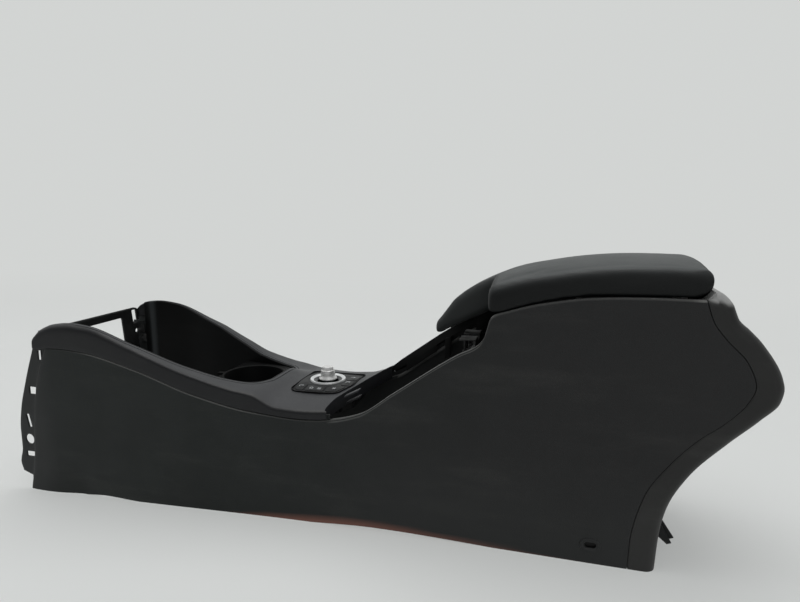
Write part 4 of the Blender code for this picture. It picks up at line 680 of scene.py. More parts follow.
for side, name in ((-1, "side_panel_left"), (1, "side_panel_right")):
    outer, inner = panel_skin()
    if side > 0:
        outer, inner = [(g * np.array([1, -1, 1]))[:, ::-1] for g in (outer, inner)]
    skin = shell(name + "_skin", outer, inner)
    seam = list(paced(REAR_SEAM, 70))
    behind = [(seam[0][0], -30)] + seam + [(seam[-1][0] - 2, 340), (1020, 340), (1020, -30)]
    reach = sorted((side * 60, side * 150))
    holes = [block(47.5, 195, 55.5, 209, 0.9), block(27, 144, 39.5, 155, 0.9),
             rounded([(20.5, 93.5), (26, 95), (22, 114.5), (16.5, 113)], 1.3), disc(19.5, 76, 7.6),
             block(11.5, 49.5, 26.5, 57.5, 0.9), block(788.5, 22.25, 801.5, 28.75, 3.2),
             [(-20, -20), (20.6, -20), (20.6, 22), (0, 28), (-20, 32)]]
    if side > 0:
        holes.append(disc(42.4, 194.6, 4.6))
    cutters = [column("behind_seam", behind, "Y", *reach)]
    cutters += [column("hole", hole, "Y", *reach) for hole in holes]
    cut_away(skin, *cutters)
    eased(skin, 0.45, 2)
    tongue = strip_beside(side, np.linspace(72, 478, 60) if side < 0 else np.linspace(50, 668, 90),
                          [(1.0, -7), (5.2, -7), (5.2, 6.5), (3.0, 6.5), (3.0, -2.6), (1.0, -2.6)])
    skin_y = float(half_width(SCREW_STATION, SCREW_HEIGHT))
    ring = bar("screw_ring", [
        [(x, side * (skin_y + rise), z)
         for x, z in block(SCREW_STATION - w, SCREW_HEIGHT - h, SCREW_STATION + w, SCREW_HEIGHT + h,
                           h - 0.05)]
        for w, h, rise in SCREW_RING], closed=True)
    well = column("screw_well", block(785, 18.5, 805, 32.5, 3), "Y",
                  *sorted((side * (skin_y - 3.6), side * (skin_y - 2.7))))
    low, high = sorted((side * 88, side * 105))
    lug = column("foot_lug", block(61, low, 87, high), "Z", 2.0, 5.0)
    cut_away(lug, column("lug_hole", disc(74, side * 98.2, 3.5), "Z", -4, 12))
    panel = merged(name + "_skin", skin, tongue, ring, well, lug)
    for mark in (painted_foot_reflection, edge_highlight_and_wear, painted_well_shade, paler):
        marked(panel, mark.__name__, mark)
    dress(panel, panel_plastic, "console", "shell", name)


# Front frame
# Flat moulded plate that ties the two sides together in front, with a slot and a hole in each leg. Small
# clips hold it inside the panels' flanges.

inner_plastic = moulded("inner_plastic", (0.0055, 0.0060, 0.0062), 0.50, 500, 0.06, 0.4, 0.25, gloss=0.3)


def smoothed_copy(node, name, width, segments=2, angle=42):
    """Welded copy of a CAD node with its edges eased."""
    made = placed(name, nodes[node].data.copy())
    weld = bmesh.new()
    weld.from_mesh(made.data)
    bmesh.ops.remove_doubles(weld, verts=weld.verts, dist=2e-6)
    bmesh.ops.dissolve_limit(weld, angle_limit=math.radians(1.5), verts=weld.verts, edges=weld.edges)
    weld.to_mesh(made.data)
    weld.free()
    if width:
        eased(made, width, segments, angle)
    return made


FRAME_FRONT = 44
FRAME_BACK = 46.6
outline = [(-106, 92), (-106, 132), (-102.5, 140), (-102.5, 186), (-97, 190), (-97, 213), (-101, 216),
           (-101, 226), (-97, 235), (97, 235), (104, 233), (105, 226), (105, 140), (106.5, 132), (106.5, 92)]
frame_plate = column("frame_plate", outline, "X", FRAME_FRONT, FRAME_BACK)
window = rounded([(-79, 60), (83, 60), (67, 222.5), (-73, 222.5)], [0, 0, 4, 4])
far_slot = rounded([(93.5, 208), (103.6, 207.5), (101.0, 231), (90.5, 231.5)], 1.6)
near_slot = [(-y + 1.5, z) for y, z in reversed(far_slot)]
holes = [window, far_slot, near_slot, disc(100.6, 194.5, 3.6, 20), disc(-92, 192, 3.2, 20)]
cut_away(frame_plate, *[column("frame_hole", hole, "X", 40, 50) for hole in holes])
eased(frame_plate, 0.4, 2)
clips = [eased(column("frame_clip", plan, "Z", low, high), 0.5, 2) for plan, low, high in (
    (block(55, 99.5, 68, 106, 1.2), 176, 183), (block(46.8, 103, 60, 107.4, 1.0), 190, 213),
    (block(60, 97.5, 66, 101.5, 1.0), 179, 189))]
frame_plate = merged("frame_plate", frame_plate, *clips)
frame_plastic = moulded("frame_plastic", (0.012, 0.0125, 0.0125), 0.46, 500, 0.06, 0.5, 0.25, gloss=0.45)
dress(frame_plate, frame_plastic, "console", "inner", "front_frame")


# Top trim
# One moulding from the dashboard to the ramp: a skirt on each side, a soft crest, the bay's cut-out and the
# crowned deck round the controller. Satin plastic; its upward faces carry a painted reflection that makes
# them a shade lighter than the panels.

CREST_LINE = [(41, 228), (55, 240), (76, 247), (100, 249), (130, 246), (195, 222), (270, 193.1), (343, 173),
              (372, 167.7), (405, 152.5), (436, 151), (475, 153.5), (500, 161), (535, 185)]
CROWN_LINE = [(314, 0), (374, 6), (405, 13), (475, 12), (515, 8)]
BAY_SIDE = [(36, 105), (60, 103), (85, 99), (150, 96.5), (210, 89), (290, 77), (344, 66)]
# The deck and crest are painted lighter: a painted reflection of the bright room at a glancing angle.
trim_plastic = moulded("trim_plastic", (0.0062, 0.0066, 0.0078), 0.42, 1300, 0.16, 0.6, 0.10, None, 0.32,
                        marks=(("painted_deck_reflection", (0.0235, 0.0245, 0.0275)),))


def crest(station):
    return through(CREST_LINE, station)


def far_drop(station, across):
    """How much lower the deck lies towards the passenger's side."""
    low = through([(220, 0), (266, 5), (300, 10), (370, 10), (402, 0)], station)
    share = np.clip((across - 10) / 50, 0, 1)
    return low * share * share * (3 - 2 * share)


def deck(station, across):
    share = np.clip(np.abs(across) / half_width(station, crest(station)), 0, 1)
    return crest(station) + through(CROWN_LINE, station) * (1 - share ** 2) - far_drop(station, across)


def bay_edge(inward=0.0, count=150):
    """Plan of the bay's edge, from the driver's front corner round the rear to the passenger's."""
    corner = [(344 + 30 * math.sin(a), 22 + 44 * math.cos(a)) for a in np.radians([25, 50, 75])]
    half = [(s, -y) for s, y in BAY_SIDE + corner] + [(374, 0)]
    return beside(paced(half + [(s, -y) for s, y in reversed(half[:-1])], count), inward)


DECK_END = [(476, -107), (475, -94), (470, -88), (473, -63), (480, -44), (490, -20), (496, 0), (503, 30),
            (508, 60), (511, 87), (511, 107)]


def plate_edge(grow=0.0):
    outline = rounded([(404, -49), (470, -46), (483, -18), (483, 43), (404, 43)], [9, 9, 13, 13, 10], 8)
    points = np.array(outline)
    run = np.roll(points, -1, axis=0) - np.roll(points, 1, axis=0)
    run /= np.linalg.norm(run, axis=1)[:, None]
    return [tuple(p) for p in points - grow * np.stack([-run[:, 1], run[:, 0]], -1)]


def trim_skin(sink):
    """The trim's surface, or the one a wall's thickness below it."""
    rows = []
    for s in np.r_[np.linspace(42, 60, 10), np.linspace(60, 515, 150)[1:]]:
        outer = float(half_width(s, crest(s)))
        halves = []
        for side in (-1, 1):
            top = float(crest(s)) - float(far_drop(s, side * outer))
            radius = float(through([(42, 10), (110, 9), (190, 5.5), (300, 3.6), (475, 3)], s))
            foot = float(panel_top(s)) + float(through([(42, 0.7), (200, 0.8), (320, 1.2), (475, 1.6)], s))
            half = []
            for share in (0, 0.02, 0.06, 0.3, 0.55, 0.8, 0.95):
                height = foot + (top - radius - foot) * share
                tuck = 0.5 if share == 0 else 0.12 if share == 0.02 else 0
                half.append((side * (float(half_width(s, height)) - sink - tuck), height))
            lift = float(deck(s, side * (outer - radius))) - top
            for a in np.radians([0, 15, 30, 45, 60, 75, 90]):
                y = outer - radius + (radius - sink) * math.cos(a)
                z = top - radius + (radius - sink) * math.sin(a) + lift * math.sin(a) ** 2
                half.append((side * y, z))
            for share in np.linspace(0.04, 1, 24):
                y = side * (outer - radius) * (1 - share)
                half.append((y, float(deck(s, y)) - sink))
            halves.append([(s, y, z) for y, z in half])
        rows.append(halves[0] + halves[1][-2::-1])
    return np.array(rows)


def painted_deck_reflection(s, y, z):
    """Painted reflection on the trim's upward faces, inside its rounded edge."""
    return np.clip((half_width(s, z) - np.abs(y) - 1.5) / 7, 0, 1) * np.clip((z - deck(s, y) + 5) / 3, 0, 1)


def deck_strip(name, near, far, low, high, closed=False):
    """Bar between two lines on the deck, from low to high above it; high may differ for the two lines."""
    high_near, high_far = high if isinstance(high, tuple) else (high, high)
    return bar(name, [
        [(*a, deck(*a) + low), (*b, deck(*b) + low), (*b, deck(*b) + high_far),
         (*a, deck(*a) + high_near)] for a, b in zip(near, far)], closed)


def hung_strip(name, line, near, far, low, high):
    """Level bar that hangs beside a line on the deck."""
    return bar(name, [
        [(*a, deck(*a) + low), (*a, deck(*a) + high), (*b, deck(*a) + high),
         (*b, deck(*a) + low)] for a, b in zip(beside(line, near), beside(line, far))])


TRIM_WALL = 2.2
trim = shell("trim_skin", trim_skin(0.0), trim_skin(TRIM_WALL))
edge = list(bay_edge())
bay = column("bay", [(edge[0][0] - 30, edge[0][1])] + edge + [(edge[-1][0] - 30, edge[-1][1])], "Z", 100, 300)
end_line = list(paced(DECK_END, 60))
beyond = column("beyond", end_line + [(565, 107), (565, -107)], "Z", 90, 300)
seat = column("seat", plate_edge(1.2), "Z", 90, 300)
cut_away(trim, bay, beyond, seat)
eased(trim, 0.55, 3)
line = bay_edge(-4.2, 170)
line = line[line[:, 0] > 44]
cut_away(trim, deck_strip("groove", beside(line, -0.55), beside(line, 0.55), -1.1, 2))
edge = paced(DECK_END, 80)
edge = edge[np.abs(edge[:, 1]) < 84]
curtain = hung_strip("curtain", edge, 0.5, 2.6, -19, -0.9)
tabs = []
for start, foot, reach in ((486.0, 162.0, 20.5), (489.0, 154.5, 18.5)):
    rise = 0.52 * reach
    tab = column("clip_tab", [(start, foot), (start + reach, foot + rise), (start + reach, foot + rise + 2.4),
                              (start, foot + 2.4)], "Y", -61, -51)
    tabs.append(eased(tab, 0.35, 2))
ledge = edge[(edge[:, 1] > -84) & (edge[:, 1] < -40)]
tabs.append(eased(hung_strip("curtain_ledge", ledge, 2.4, 4.6, -8.4, -6.8), 0.35, 2))
trim = merged("trim_skin", trim, curtain, *tabs)
marked(trim, "painted_deck_reflection", painted_deck_reflection)
dress(trim, trim_plastic, "console", "trim", "top_trim")


# Bay liner and cup holder
# The liner is a smooth upright wall inside the bay. The cup holder closes the bay's rear with a deep cup and
# a rubber mat.

BEAD = 85
LINER_FOOT = 128.0
# The liner is coloured near black, darker than the other plastics: painted shade of the deep bay.
liner_plastic_shaded = moulded("liner_plastic_shaded", (0.0018, 0.0021, 0.0022), 0.44, 1500, 0.04, 0.12, 0.08, gloss=0.09,
                        marks=(("painted_bead_highlight", (0.042, 0.047, 0.049)),))
wall = bay_edge(0.45)
wall = wall[wall[:, 0] > 66]
rings = []
for (s, y), (si, yi) in zip(wall, beside(wall, 3.0)):
    yi -= math.copysign(2.6 * math.exp(-(((si - BEAD) / 4.5) ** 2)), yi)
    top = min(float(deck(s, y)), float(deck(si, yi))) - 0.5
    rings.append([(s, y, LINER_FOOT), (s, y, top - 0.7), (s + (si - s) * 0.25, y + (yi - y) * 0.25, top),
                  ((s + si) / 2, (y + yi) / 2, top + 0.1), (s + (si - s) * 0.75, y + (yi - y) * 0.75, top),
                  (si, yi, top - 0.7), (si, yi, LINER_FOOT)])
liner = bar("liner_wall", rings)
# Painted highlight down the rounded bead near the liner's front.
marked(liner, "painted_bead_highlight", lambda s, y, z: np.exp(-(((s - BEAD) / 5.0) ** 2)) * (np.abs(y) < 98.5))
dress(liner, liner_plastic_shaded, "console", "inner", "bay_liner")

# The cup is coloured near black too: painted shade of the deep cup.
cup_plastic_shaded = moulded("cup_plastic_shaded", (0.0014, 0.0016, 0.0017), 0.55, 1500, 0.05, 0.10, 0.05, gloss=0.06)
dress(smoothed_copy("cup_holder", "cup_insert", 0.5, 2, 50), cup_plastic_shaded, "console", "inner", "cup_holder")
rubber = moulded("rubber", (0.010, 0.010, 0.010), 0.75, 700, 0.2, 0.5, 0.2)
for node in ("cup_mat", "box_mat", "lid_stop_left", "lid_stop_right"):
    coated(nodes[node].data, rubber)


# Controller
# A dark plate with push keys and pale printed signs, a satin ring, and a pale knob that turns, tilts and
# presses. Below deck sit its housing, its green board and the stick's gimbal.

DIAL = (438.0, 4.0)
KEY_RISE = 2.1
INK_HALF = 0.42
key_gloss = moulded("key_gloss", (0.0048, 0.0052, 0.0062), 0.36, 2500, 0.05, 0.2, 0.1, gloss=0.14)
# Near-black material for the strip that paints the shade in the plate's gap.
black_gap_shade = moulded("black_gap_shade", (0.0015, 0.0015, 0.0016), 0.7, 900, 0.1, 0.1, 0.0, gloss=0.15)
plate = smoothed_copy("controller_plate", "plate_top", 0.5, 3, 50)
dress(plate, key_gloss, "console", "gloss", "controller_plate")


def turned(name, profile, centre, steps=64):
    """Closed ring turned round an upright axis from (radius, height) points."""
    rings = []
    for k in range(steps):
        a = 2 * math.pi * k / steps
        rings.append([(centre[0] + r * math.cos(a), centre[1] + r * math.sin(a), z) for r, z in profile])
    return bar(name, rings, closed=True)


# A black strip fills the gap round the plate: painted shade of the gap.
gap_shade = deck_strip("plate_gap_shade", plate_edge(0.1), plate_edge(1.25), -1.5, (1.5, 1.3), True)
dress(gap_shade, black_gap_shade, "console", "rubber")


def printed(name, body, centre, *strokes):
    """Sign printed on a key, a hair proud: strokes of (along, across) millimetres from its middle."""
    lines = []
    for stroke in strokes:
        path = np.array(stroke, float) + np.array(centre)
        sides = beside(path, -INK_HALF), beside(path, INK_HALF)
        lines.append(deck_strip("stroke", *sides, KEY_RISE - 0.2, KEY_RISE + 0.06))
    dress(merged(name, *lines, smooth=None), sign_white, body, "light")


sign_white = moulded("sign_white", (0.42, 0.43, 0.44), 0.5, 2500, 0.02, 0.3, 0.1)
ring_arc = [(2.4 * math.sin(a), 2.4 * math.cos(a)) for a in np.radians(range(-150, 31, 20))]
printed("sign_back", "front_key", (414, -34), ring_arc, [(1.2, 4.2), (1.2, 2.1), (3.2, 2.1)])
printed("sign_home", "centre_key", (430, -36), [(-2.6, 0), (0, 2.8), (2.6, 0)],
        [(-1.8, 0.4), (-1.8, -2.6), (1.8, -2.6), (1.8, 0.4)])
printed("sign_list", "centre_key", (441, -36), *[[(-2.6, y), (2.6, y)] for y in (2, 0, -2)])
printed("sign_star", "rear_key", (461.5, -33.5), [(-3, 0), (3, 0)], [(-1.5, -2.6), (1.5, 2.6)],
        [(-1.5, 2.6), (1.5, -2.6)])
printed("sign_note", "low_side_key", (472.5, -9), [(-2.4, -2.4), (-2.4, 2.6), (2.2, 2.6), (2.2, -2.4)],
        [(-2.4, 0.9), (2.2, 0.9)])
printed("sign_arrow", "high_side_key", (472.5, 13.5), [(-3, 0), (2.6, 0)], [(0.4, 2.4), (2.8, 0), (0.4, -2.4)])
for node, body in (("key_front", "front_key"), ("key_centre", "centre_key"), ("key_rear", "rear_key"),
                   ("key_side_low", "low_side_key"), ("key_side_high", "high_side_key")):
    dress(smoothed_copy(node, node + "_cap", 0.75, 3, 50), key_gloss, body, "gloss", node)


def metal(name, colour, roughness, metallic=0.85):
    """Satin metal or metallic paint, with fine unevenness of tone and polish."""
    made, tree, shader, place = new_material(name)
    share = ramp(tree, noise(tree, place["Object"], 60.0, 3), 0.3, 0.7)
    tone = blend_colour(tree, share, tuple(c * 0.92 for c in colour), tuple(min(1, c * 1.06) for c in colour))
    tree.links.new(tone, shader.inputs["Base Color"])
    tree.links.new(figure(tree, "ADD", times(tree, share, 0.06), roughness), shader.inputs["Roughness"])
    shader.inputs["Metallic"].default_value = metallic
    return made


ring_satin = metal("ring_satin", (0.66, 0.67, 0.67), 0.34, 0.4)
knob_satin = metal("knob_satin", (0.60, 0.60, 0.59), 0.26, 0.55)
lens_pale = metal("lens_pale", (0.66, 0.66, 0.65), 0.16, 0.0)
collar_black = metal("collar_black", (0.010, 0.010, 0.012), 0.28, 0.0)
hinge_steel = metal("hinge_steel", (0.42, 0.42, 0.41), 0.38)
board_green = metal("board_green", (0.010, 0.055, 0.026), 0.42, 0.0)
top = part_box("light_ring")[1][2] * 1000 - 1.2
band = turned("ring_band", [(18.6, top - 2.6), (25, top - 2.6), (25, top + 0.8), (24.4, top + 1.7),
                            (23.6, top + 1.75), (19.0, top - 0.4), (18.6, top - 0.8)], DIAL)
band.data.set_sharp_from_angle(angle=math.radians(50))
dress(band, ring_satin, "console", "light", "light_ring")
dress(smoothed_copy("dial_collar", "collar_band", 0.3, 2, 40), collar_black, "console", "gloss", "dial_collar")


def grip_tree():
    """Fine upright ribs round the knob's neck, one at each point of a circle."""
    tree = bpy.data.node_groups.new("knob_grip", "GeometryNodeTree")
    given, result = tree.nodes.new("NodeGroupInput"), tree.nodes.new("NodeGroupOutput")
    circle = tree.nodes.new("GeometryNodeMeshCircle")
    rib = tree.nodes.new("GeometryNodeMeshCylinder")
    rib.inputs["Vertices"].default_value = 8
    spread_out = tree.nodes.new("GeometryNodeInstanceOnPoints")
    real = tree.nodes.new("GeometryNodeRealizeInstances")
    finish = tree.nodes.new("GeometryNodeSetMaterial")
    tree.interface.new_socket(name="Geometry", in_out="OUTPUT", socket_type="NodeSocketGeometry")
    sockets = {}
    for name, kind, end in (("Ribs", "NodeSocketInt", circle.inputs["Vertices"]),
                            ("Neck Radius", "NodeSocketFloat", circle.inputs["Radius"]),
                            ("Rib Radius", "NodeSocketFloat", rib.inputs["Radius"]),
                            ("Rib Height", "NodeSocketFloat", rib.inputs["Depth"]),
                            ("Finish", "NodeSocketMaterial", finish.inputs["Material"])):
        sockets[name] = tree.interface.new_socket(name=name, in_out="INPUT", socket_type=kind).identifier
        tree.links.new(given.outputs[name], end)
    for start, end in ((circle.outputs["Mesh"], spread_out.inputs["Points"]),
                       (rib.outputs["Mesh"], spread_out.inputs["Instance"]),
                       (spread_out.outputs["Instances"], real.inputs["Geometry"]),
                       (real.outputs["Geometry"], finish.inputs["Geometry"]),
                       (finish.outputs["Geometry"], result.inputs["Geometry"])):
        tree.links.new(start, end)
    return tree, sockets


def grown(name, tree, sockets, values, place):
    """Plain mesh made by a geometry tree with its named inputs, moved to its place."""
    made = placed(name, bpy.data.meshes.new(name))
    step = made.modifiers.new("tree", "NODES")
    step.node_group = tree
    for socket, value in values.items():
        step[sockets[socket]] = value
    bpy.context.view_layer.update()
    shape = evaluated(made)
    made.modifiers.clear()
    shape.transform(Matrix.Translation(place))
    made.data = shape
    return made


neck_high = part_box("dial_knob")[1][2] * 1000 - 6.5
grip = grown("knob_grip", *grip_tree(), {"Ribs": 40, "Neck Radius": 0.00985, "Rib Radius": 0.00038,
                                         "Rib Height": 0.0055, "Finish": knob_satin},
             metres((DIAL[0], DIAL[1], neck_high)))
dress(grip, knob_satin, "knob", "silver")
dress(smoothed_copy("dial_knob", "knob_body", 0.3, 2, 40), knob_satin, "knob", "silver", "dial_knob")
dress(smoothed_copy("knob_cap", "knob_lens", 0.5, 3, 40), lens_pale, "knob", "clear", "knob_cap")
for finish, *unseen in ((inner_plastic, "controller_housing", "storage_box", "armrest_base", "rear_bracket"),
                        (collar_black, "gimbal_ring", "tilt_stem", "press_plunger"),
                        (board_green, "circuit_board"), (hinge_steel, "hinge_bracket", "hinge_pin")):
    for node in unseen:
        coated(nodes[node].data, finish)


# Ramp
# The passenger's rail of the handbrake slot, with a stepped skirt for clips, and the ribbed bracket that
# closes the slot's upper end under the armrest.

rail_plastic = moulded("rail_plastic", (0.0066, 0.0070, 0.0070), 0.50, 900, 0.12, 0.3, 0.1, gloss=0.15)
bracket_plastic = moulded("bracket_plastic", (0.022, 0.0225, 0.0225), 0.42, 500, 0.08, 0.6, 0.3, gloss=0.45)
RISE_LINE = ((597, 232), (601, 235), (607, 238), (613, 241), (620, 244), (627, 247), (634, 249))
rise = bar("rail_rise", [
    [(s, 88, z - 8), (s, 94, z - 8), (s, 94, z + 3), (s, 90, z + 3)] for s, z in RISE_LINE])
rail = merged("rail_cap", smoothed_copy("ramp_rail", "rail_body", 0.5, 2, 40), rise)
dress(rail, rail_plastic, "console", "trim", "ramp_rail")
dress(smoothed_copy("box_front_bracket", "ramp_bracket", 0.4, 2, 40), bracket_plastic, "console", "inner",
      "box_front_bracket")


# Armrest
# Foam under a soft grained skin, cut back on the driver's side. One padded piece, drawn tight over a plastic
# base that turns on the rear hinge.

def skin_material():
    """Soft coated skin: fine leather grain, a low sheen, and faces that turn up painted lighter as light from
    above, which on the top is also wear.
    """
    made, tree, shader, place = new_material("armrest_skin")
    tone = ramp(tree, noise(tree, place["Object"], 9.0, 4, 0.6), 0.3, 0.7)
    base = blend_colour(tree, tone, (0.0022, 0.0030, 0.0031), (0.0034, 0.0044, 0.0044))
    facing = split(tree, place["Normal"])["Z"]
    # Painted light: the more a face turns up, the lighter it is painted; on the top this is also real wear,
    # where the roughness drops.
    worn_and_lit_top = ramp(tree, facing, 0.80, 1.01)
    lit_slope = ramp(tree, facing, 0.10, 0.75)
    share = figure(tree, "ADD", times(tree, worn_and_lit_top, 0.62), times(tree, lit_slope, 0.16))
    base = blend_colour(tree, share, base, (0.050, 0.056, 0.056))
    # Painted light: the nose's near face is painted lighter, standing in for a face tilted up to the light.
    base = blend_colour(tree, kept_mark(tree, "painted_nose_light"), base, (0.0270, 0.0295, 0.0295))
    tree.links.new(base, shader.inputs["Base Color"])
    rough = figure(tree, "ADD", times(tree, tone, 0.05), 0.54)
    tree.links.new(figure(tree, "SUBTRACT", rough, times(tree, worn_and_lit_top, 0.08)), shader.inputs["Roughness"])
    grained(tree, shader, 1100, 0.30)
    shader.inputs["Specular IOR Level"].default_value = 0.24
    return made


REST_HALF = 91.2
REST_NOSE = 675.0
REST_REAR = 902.7
REST_PIN = (883.0, 331.0)
REST_FOOT_LINE = [(675, 283), (690, 288.6), (704, 293.8), (723, 299.9), (743, 304.8), (763, 308.9),
                  (782, 311.4), (802, 312.0), (842, 312.8), (903, 313.3)]
NOSE_FOOT = 288.1
FOOT_RADIUS = 11.0
NOSE_RADIUS = 13.0
REAR_RADIUS = 18.0
ROLL_BULGE = 3.6
ROLL_MIDDLE = 28
ROLL_SPREAD = 36
VOXEL = 4.0
SLACK = 1.6
CLOTH_FRAMES = 20
PUFF_CAP = 5.0
PUFF_OUT = 1.2
PUFF_IN = 0.6
PUFF_SLIDE = 1.0


def put_points(mesh, points):
    mesh.vertices.foreach_set("co", metres(points).astype(np.float32).ravel())
    mesh.update()


def normals_of(mesh):
    normals = np.zeros(len(mesh.vertices) * 3)
    mesh.vertices.foreach_get("normal", normals)
    return normals.reshape(-1, 3)


def calmed(mesh, rounds):
    """Smooths a mesh without shrinking it: each round eases the points in and lets them out again."""
    ends = np.zeros(len(mesh.edges) * 2, dtype=int)
    mesh.edges.foreach_get("vertices", ends)
    a, b = ends.reshape(-1, 2).T
    both = np.r_[a, b]
    points = points_of(mesh)
    links = np.bincount(both, minlength=len(points))[:, None]
    for share in (0.5, -0.53) * rounds:
        total = np.stack([np.bincount(both, np.r_[points[b, k], points[a, k]], len(points))
                          for k in range(3)], 1)
        points += share * (total / links - points)
    put_points(mesh, points)


def squared(first, second, radius, share):
    """Fills out a round corner between two faces, from the depth of each point under either face."""
    u, v = np.clip(1 - first / radius, 0, 1), np.clip(1 - second / radius, 0, 1)
    grow = 1 + share * (np.hypot(u, v) / np.maximum(np.maximum(u, v), 1e-6) - 1)
    return (u > 0) & (v > 0), radius * (1 - u * grow), radius * (1 - v * grow)


def limited(steps, most):
    """Steps shortened to a greatest length."""
    return steps * np.minimum(1, most / np.maximum(np.linalg.norm(steps, axis=1, keepdims=True), 1e-6))


pad = smoothed_copy("armrest_pad", "armrest_cushion", 0)
voxels = pad.modifiers.new("voxels", "REMESH")
voxels.mode = "VOXEL"
voxels.voxel_size = VOXEL * 0.001
voxels.use_smooth_shade = True
settled(pad, 180)
calmed(pad.data, 8)

points = points_of(pad.data)
foot = through(REST_FOOT_LINE, points[:, 0])
corner, to_side, to_foot = squared(REST_HALF - np.abs(points[:, 1]), points[:, 2] - foot, FOOT_RADIUS, 0.75)
corner &= points[:, 0] > REST_NOSE
points[corner, 1] = np.sign(points[corner, 1]) * (REST_HALF - to_side[corner])
points[corner, 2] = foot[corner] + to_foot[corner]
corner, to_nose, to_foot = squared(points[:, 0] - REST_NOSE, points[:, 2] - NOSE_FOOT, NOSE_RADIUS, 0.7)
corner &= (points[:, 1] < -1) & (points[:, 0] > REST_NOSE - 2) & (points[:, 2] < 302)
points[corner, 0] = REST_NOSE + to_nose[corner]
points[corner, 2] = NOSE_FOOT + to_foot[corner]
corner, to_side, to_rear = squared(
    REST_HALF - np.abs(points[:, 1]), REST_REAR - points[:, 0], REAR_RADIUS, 0.35)
corner &= (points[:, 2] > 316) & (points[:, 0] > 880)
points[corner, 1] = np.sign(points[corner, 1]) * (REST_HALF - to_side[corner])
points[corner, 0] = REST_REAR - to_rear[corner]
near_nose = np.clip((705 - points[:, 0]) / 28, 0, 1) * np.clip((-points[:, 1] - 8.5) / 4, 0, 1)
points[:, 0] -= near_nose * (4.3 + 2.5 * np.clip((points[:, 2] - 312) / 12, 0, 1)) * (points[:, 2] > 285)
put_points(pad.data, points)

from_pin = points[:, [0, 2]] - np.array(REST_PIN)
reach = np.linalg.norm(from_pin, axis=1)
turn = np.degrees(np.arctan2(from_pin[:, 1], from_pin[:, 0]))
outward_share = (normals_of(pad.data)[:, [0, 2]] * from_pin).sum(1) / np.maximum(reach, 1)
start = np.clip((points[:, 0] - 858) / 30, 0, 1)
bulge = ROLL_BULGE * np.exp(-(((turn - ROLL_MIDDLE) / ROLL_SPREAD) ** 2))
bulge *= np.clip(outward_share * 3 - 1, 0, 1) * (reach > 11) * start * start * (3 - 2 * start)
points[:, [0, 2]] += from_pin / np.maximum(reach, 1)[:, None] * bulge[:, None]
put_points(pad.data, points)
calmed(pad.data, 8)

full = points_of(pad.data)
bracket_low, bracket_high = [np.array(c) * 1000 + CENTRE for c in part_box("hinge_bracket")]
normals = normals_of(pad.data)
hold = (normals[:, 2] < -0.45) | np.all((full > bracket_low - 9) & (full < bracket_high + 9), axis=1)
held = pad.vertex_groups.new(name="held")
held.add([int(i) for i in np.nonzero(hold)[0]], 1.0, "REPLACE")
put_points(pad.data, full - normals * SLACK * (~hold)[:, None])
cloth = pad.modifiers.new("cloth", "CLOTH")
for setting, value in (("quality", 5), ("mass", 0.3), ("tension_stiffness", 15),
                       ("compression_stiffness", 15), ("bending_stiffness", 0.5), ("use_pressure", True),
                       ("uniform_pressure_force", 4), ("vertex_group_mass", "held")):
    setattr(cloth.settings, setting, value)
cloth.settings.effector_weights.gravity = 0
cloth.point_cache.frame_start = 1
cloth.point_cache.frame_end = CLOTH_FRAMES
for moment in range(1, CLOTH_FRAMES + 1):
    bpy.context.scene.frame_set(moment)
puffed = evaluated(pad)
pad.modifiers.clear()
bpy.context.scene.frame_set(1)
moved = limited(points_of(puffed) - full, PUFF_CAP)
bpy.data.meshes.remove(puffed)
out = np.sum(moved * normals, axis=1, keepdims=True)
along = limited(moved - normals * out, PUFF_SLIDE)
put_points(pad.data, full + along + normals * np.clip(out, -PUFF_IN, PUFF_OUT))
pad.vertex_groups.clear()
calmed(pad.data, 6)
finer = pad.modifiers.new("finer", "SUBSURF")
finer.levels = finer.render_levels = 1
settled(pad, 180)
# Painted light on the near face of the nose, in place of a face that tilts up to the light.
marked(pad, "painted_nose_light", lambda s, y, z: np.clip((681 - s) / 12, 0, 1) * np.clip((y + 12) / 3, 0, 1))
dress(pad, skin_material(), "armrest", "pad", "armrest_pad")


# Rear cover
# Closes the console behind: one plastic moulding with soft edges, notched below for the floor bracket. A
# strip behind each seam closes the gap to the side panel, as painted shade of the dark inside.

REAR_CONTOUR = [(865, 0), (868, 48), (874, 78), (894, 118), (929, 158), (957, 185.5), (975, 207),
                (977.5, 220.5), (975, 232), (955, 266), (941, 281), (930, 291.5), (926.5, 299.5), (923.5, 307),
                (917, 315), (910.5, 319.5), (904, 320.5)]
SILL = [(886, 306.5), (898, 306.5), (905.5, 317.5), (904.2, 320.2), (900.4, 314.6), (894.2, 310.4),
        (886, 309.0)]


def shoulder(s, z):
    """How far the cover's side leans in at its top."""
    return 0.05 * max(0, z - 304.5) ** 2 * min(1, max(0, (s - 893) / 14))


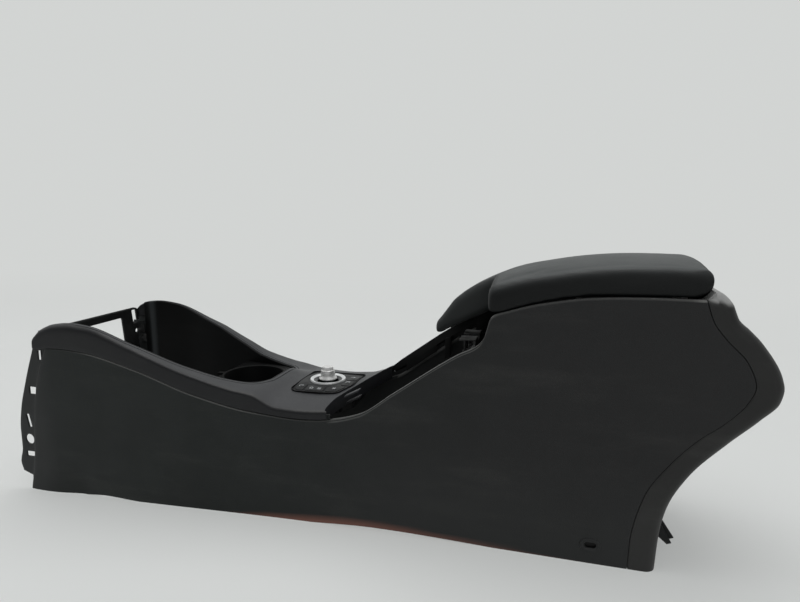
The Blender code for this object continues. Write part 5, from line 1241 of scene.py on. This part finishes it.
def cover_skin(sink):
    count = 150
    seam = paced(REAR_SEAM, count)
    contour = paced(REAR_CONTOUR, count)
    run = np.gradient(contour, axis=0)
    run /= np.linalg.norm(run, axis=1)[:, None]
    inward = np.stack([-run[:, 1], run[:, 0]], -1)
    rows = []
    for k in range(count):
        toward = contour[k] - seam[k]
        far = float(np.linalg.norm(toward))
        radius = min(12.0, 0.55 * far)
        start = seam[k] + toward * 0.8 / far
        knee = contour[k] + inward[k] * radius
        side = []
        for share in (0.0, 0.03, 0.25, 0.5, 0.75, 0.95):
            p = start + (knee - start) * share
            tuck = 0.45 if share == 0 else 0.1 if share == 0.03 else 0
            side.append((p[0], float(half_width(p[0], p[1])) - sink - tuck - shoulder(*p), p[1]))
        for a in np.radians(np.linspace(0, 90, 9)):
            p = knee - inward[k] * (radius - sink) * math.sin(a)
            y = float(half_width(p[0], p[1])) - radius + (radius - sink) * math.cos(a) - shoulder(*knee)
            side.append((p[0], y, p[1]))
        p = contour[k] + inward[k] * sink
        for y in (75, 60, 45, 30, 15, 0):
            side.append((p[0], float(y), p[1]))
        rows.append([(x, -y, z) for x, y, z in side] + [(x, y, z) for x, y, z in reversed(side[:-1])])
    return np.array(rows)[:, ::-1]


COVER_WALL = 2.5
cover = shell("cover_skin", cover_skin(0.0), cover_skin(COVER_WALL))
notch = rounded([(-75, -20), (75, -20), (75, 66), (-75, 66)], [0, 0, 12, 12], 8)
cut_away(cover, column("notch", notch, "X", 852, 895))
eased(cover, 0.45, 2)
sills, seam_shade_strips = [], []
for side in (-1, 1):
    sills.append(bar("cover_sill", [[(s, y, z) for s, z in SILL] for y in sorted((side * 74, side * 91.5))]))
    # A strip behind the seam shows dark through the gap: painted shade of the console's inside.
    seam_shade_strips.append(bar("seam_shade_strip", [
        [(s + reach, side * (float(half_width(s, z)) - deep), z)
         for reach, deep in ((-6, 2.7), (6, 2.7), (6, 4.2), (-6, 4.2))]
        for s, z in paced(REAR_SEAM, 60) if z < 300]))
cover = merged("cover_skin", cover, *sills, *seam_shade_strips)


def painted_top_reflection(s, y, z):
    """Painted reflection on the cover's top, up to its rounded side."""
    inward = half_width(s, z) - np.abs(y)
    return 0.95 * np.clip((z - 305) / 5, 0, 1) * np.clip((inward - 0.6) / 1.6, 0, 1) * (s > 897)


marked(cover, "paler", paler)
marked(cover, "painted_top_reflection", painted_top_reflection)
# Its strong pale dust is real dust and partly a painted reflection on the upward faces.
cover_plastic = moulded(
    "cover_plastic", (0.0125, 0.0125, 0.0120), 0.46, 820, 0.22, 1.0, 0.25, gloss=0.34,
    dust_colour=(0.30, 0.30, 0.29),
    marks=(("paler", (0.026, 0.026, 0.025)), ("painted_top_reflection", (0.30, 0.30, 0.295))))
dress(cover, cover_plastic, "console", "shell", "rear_cover")
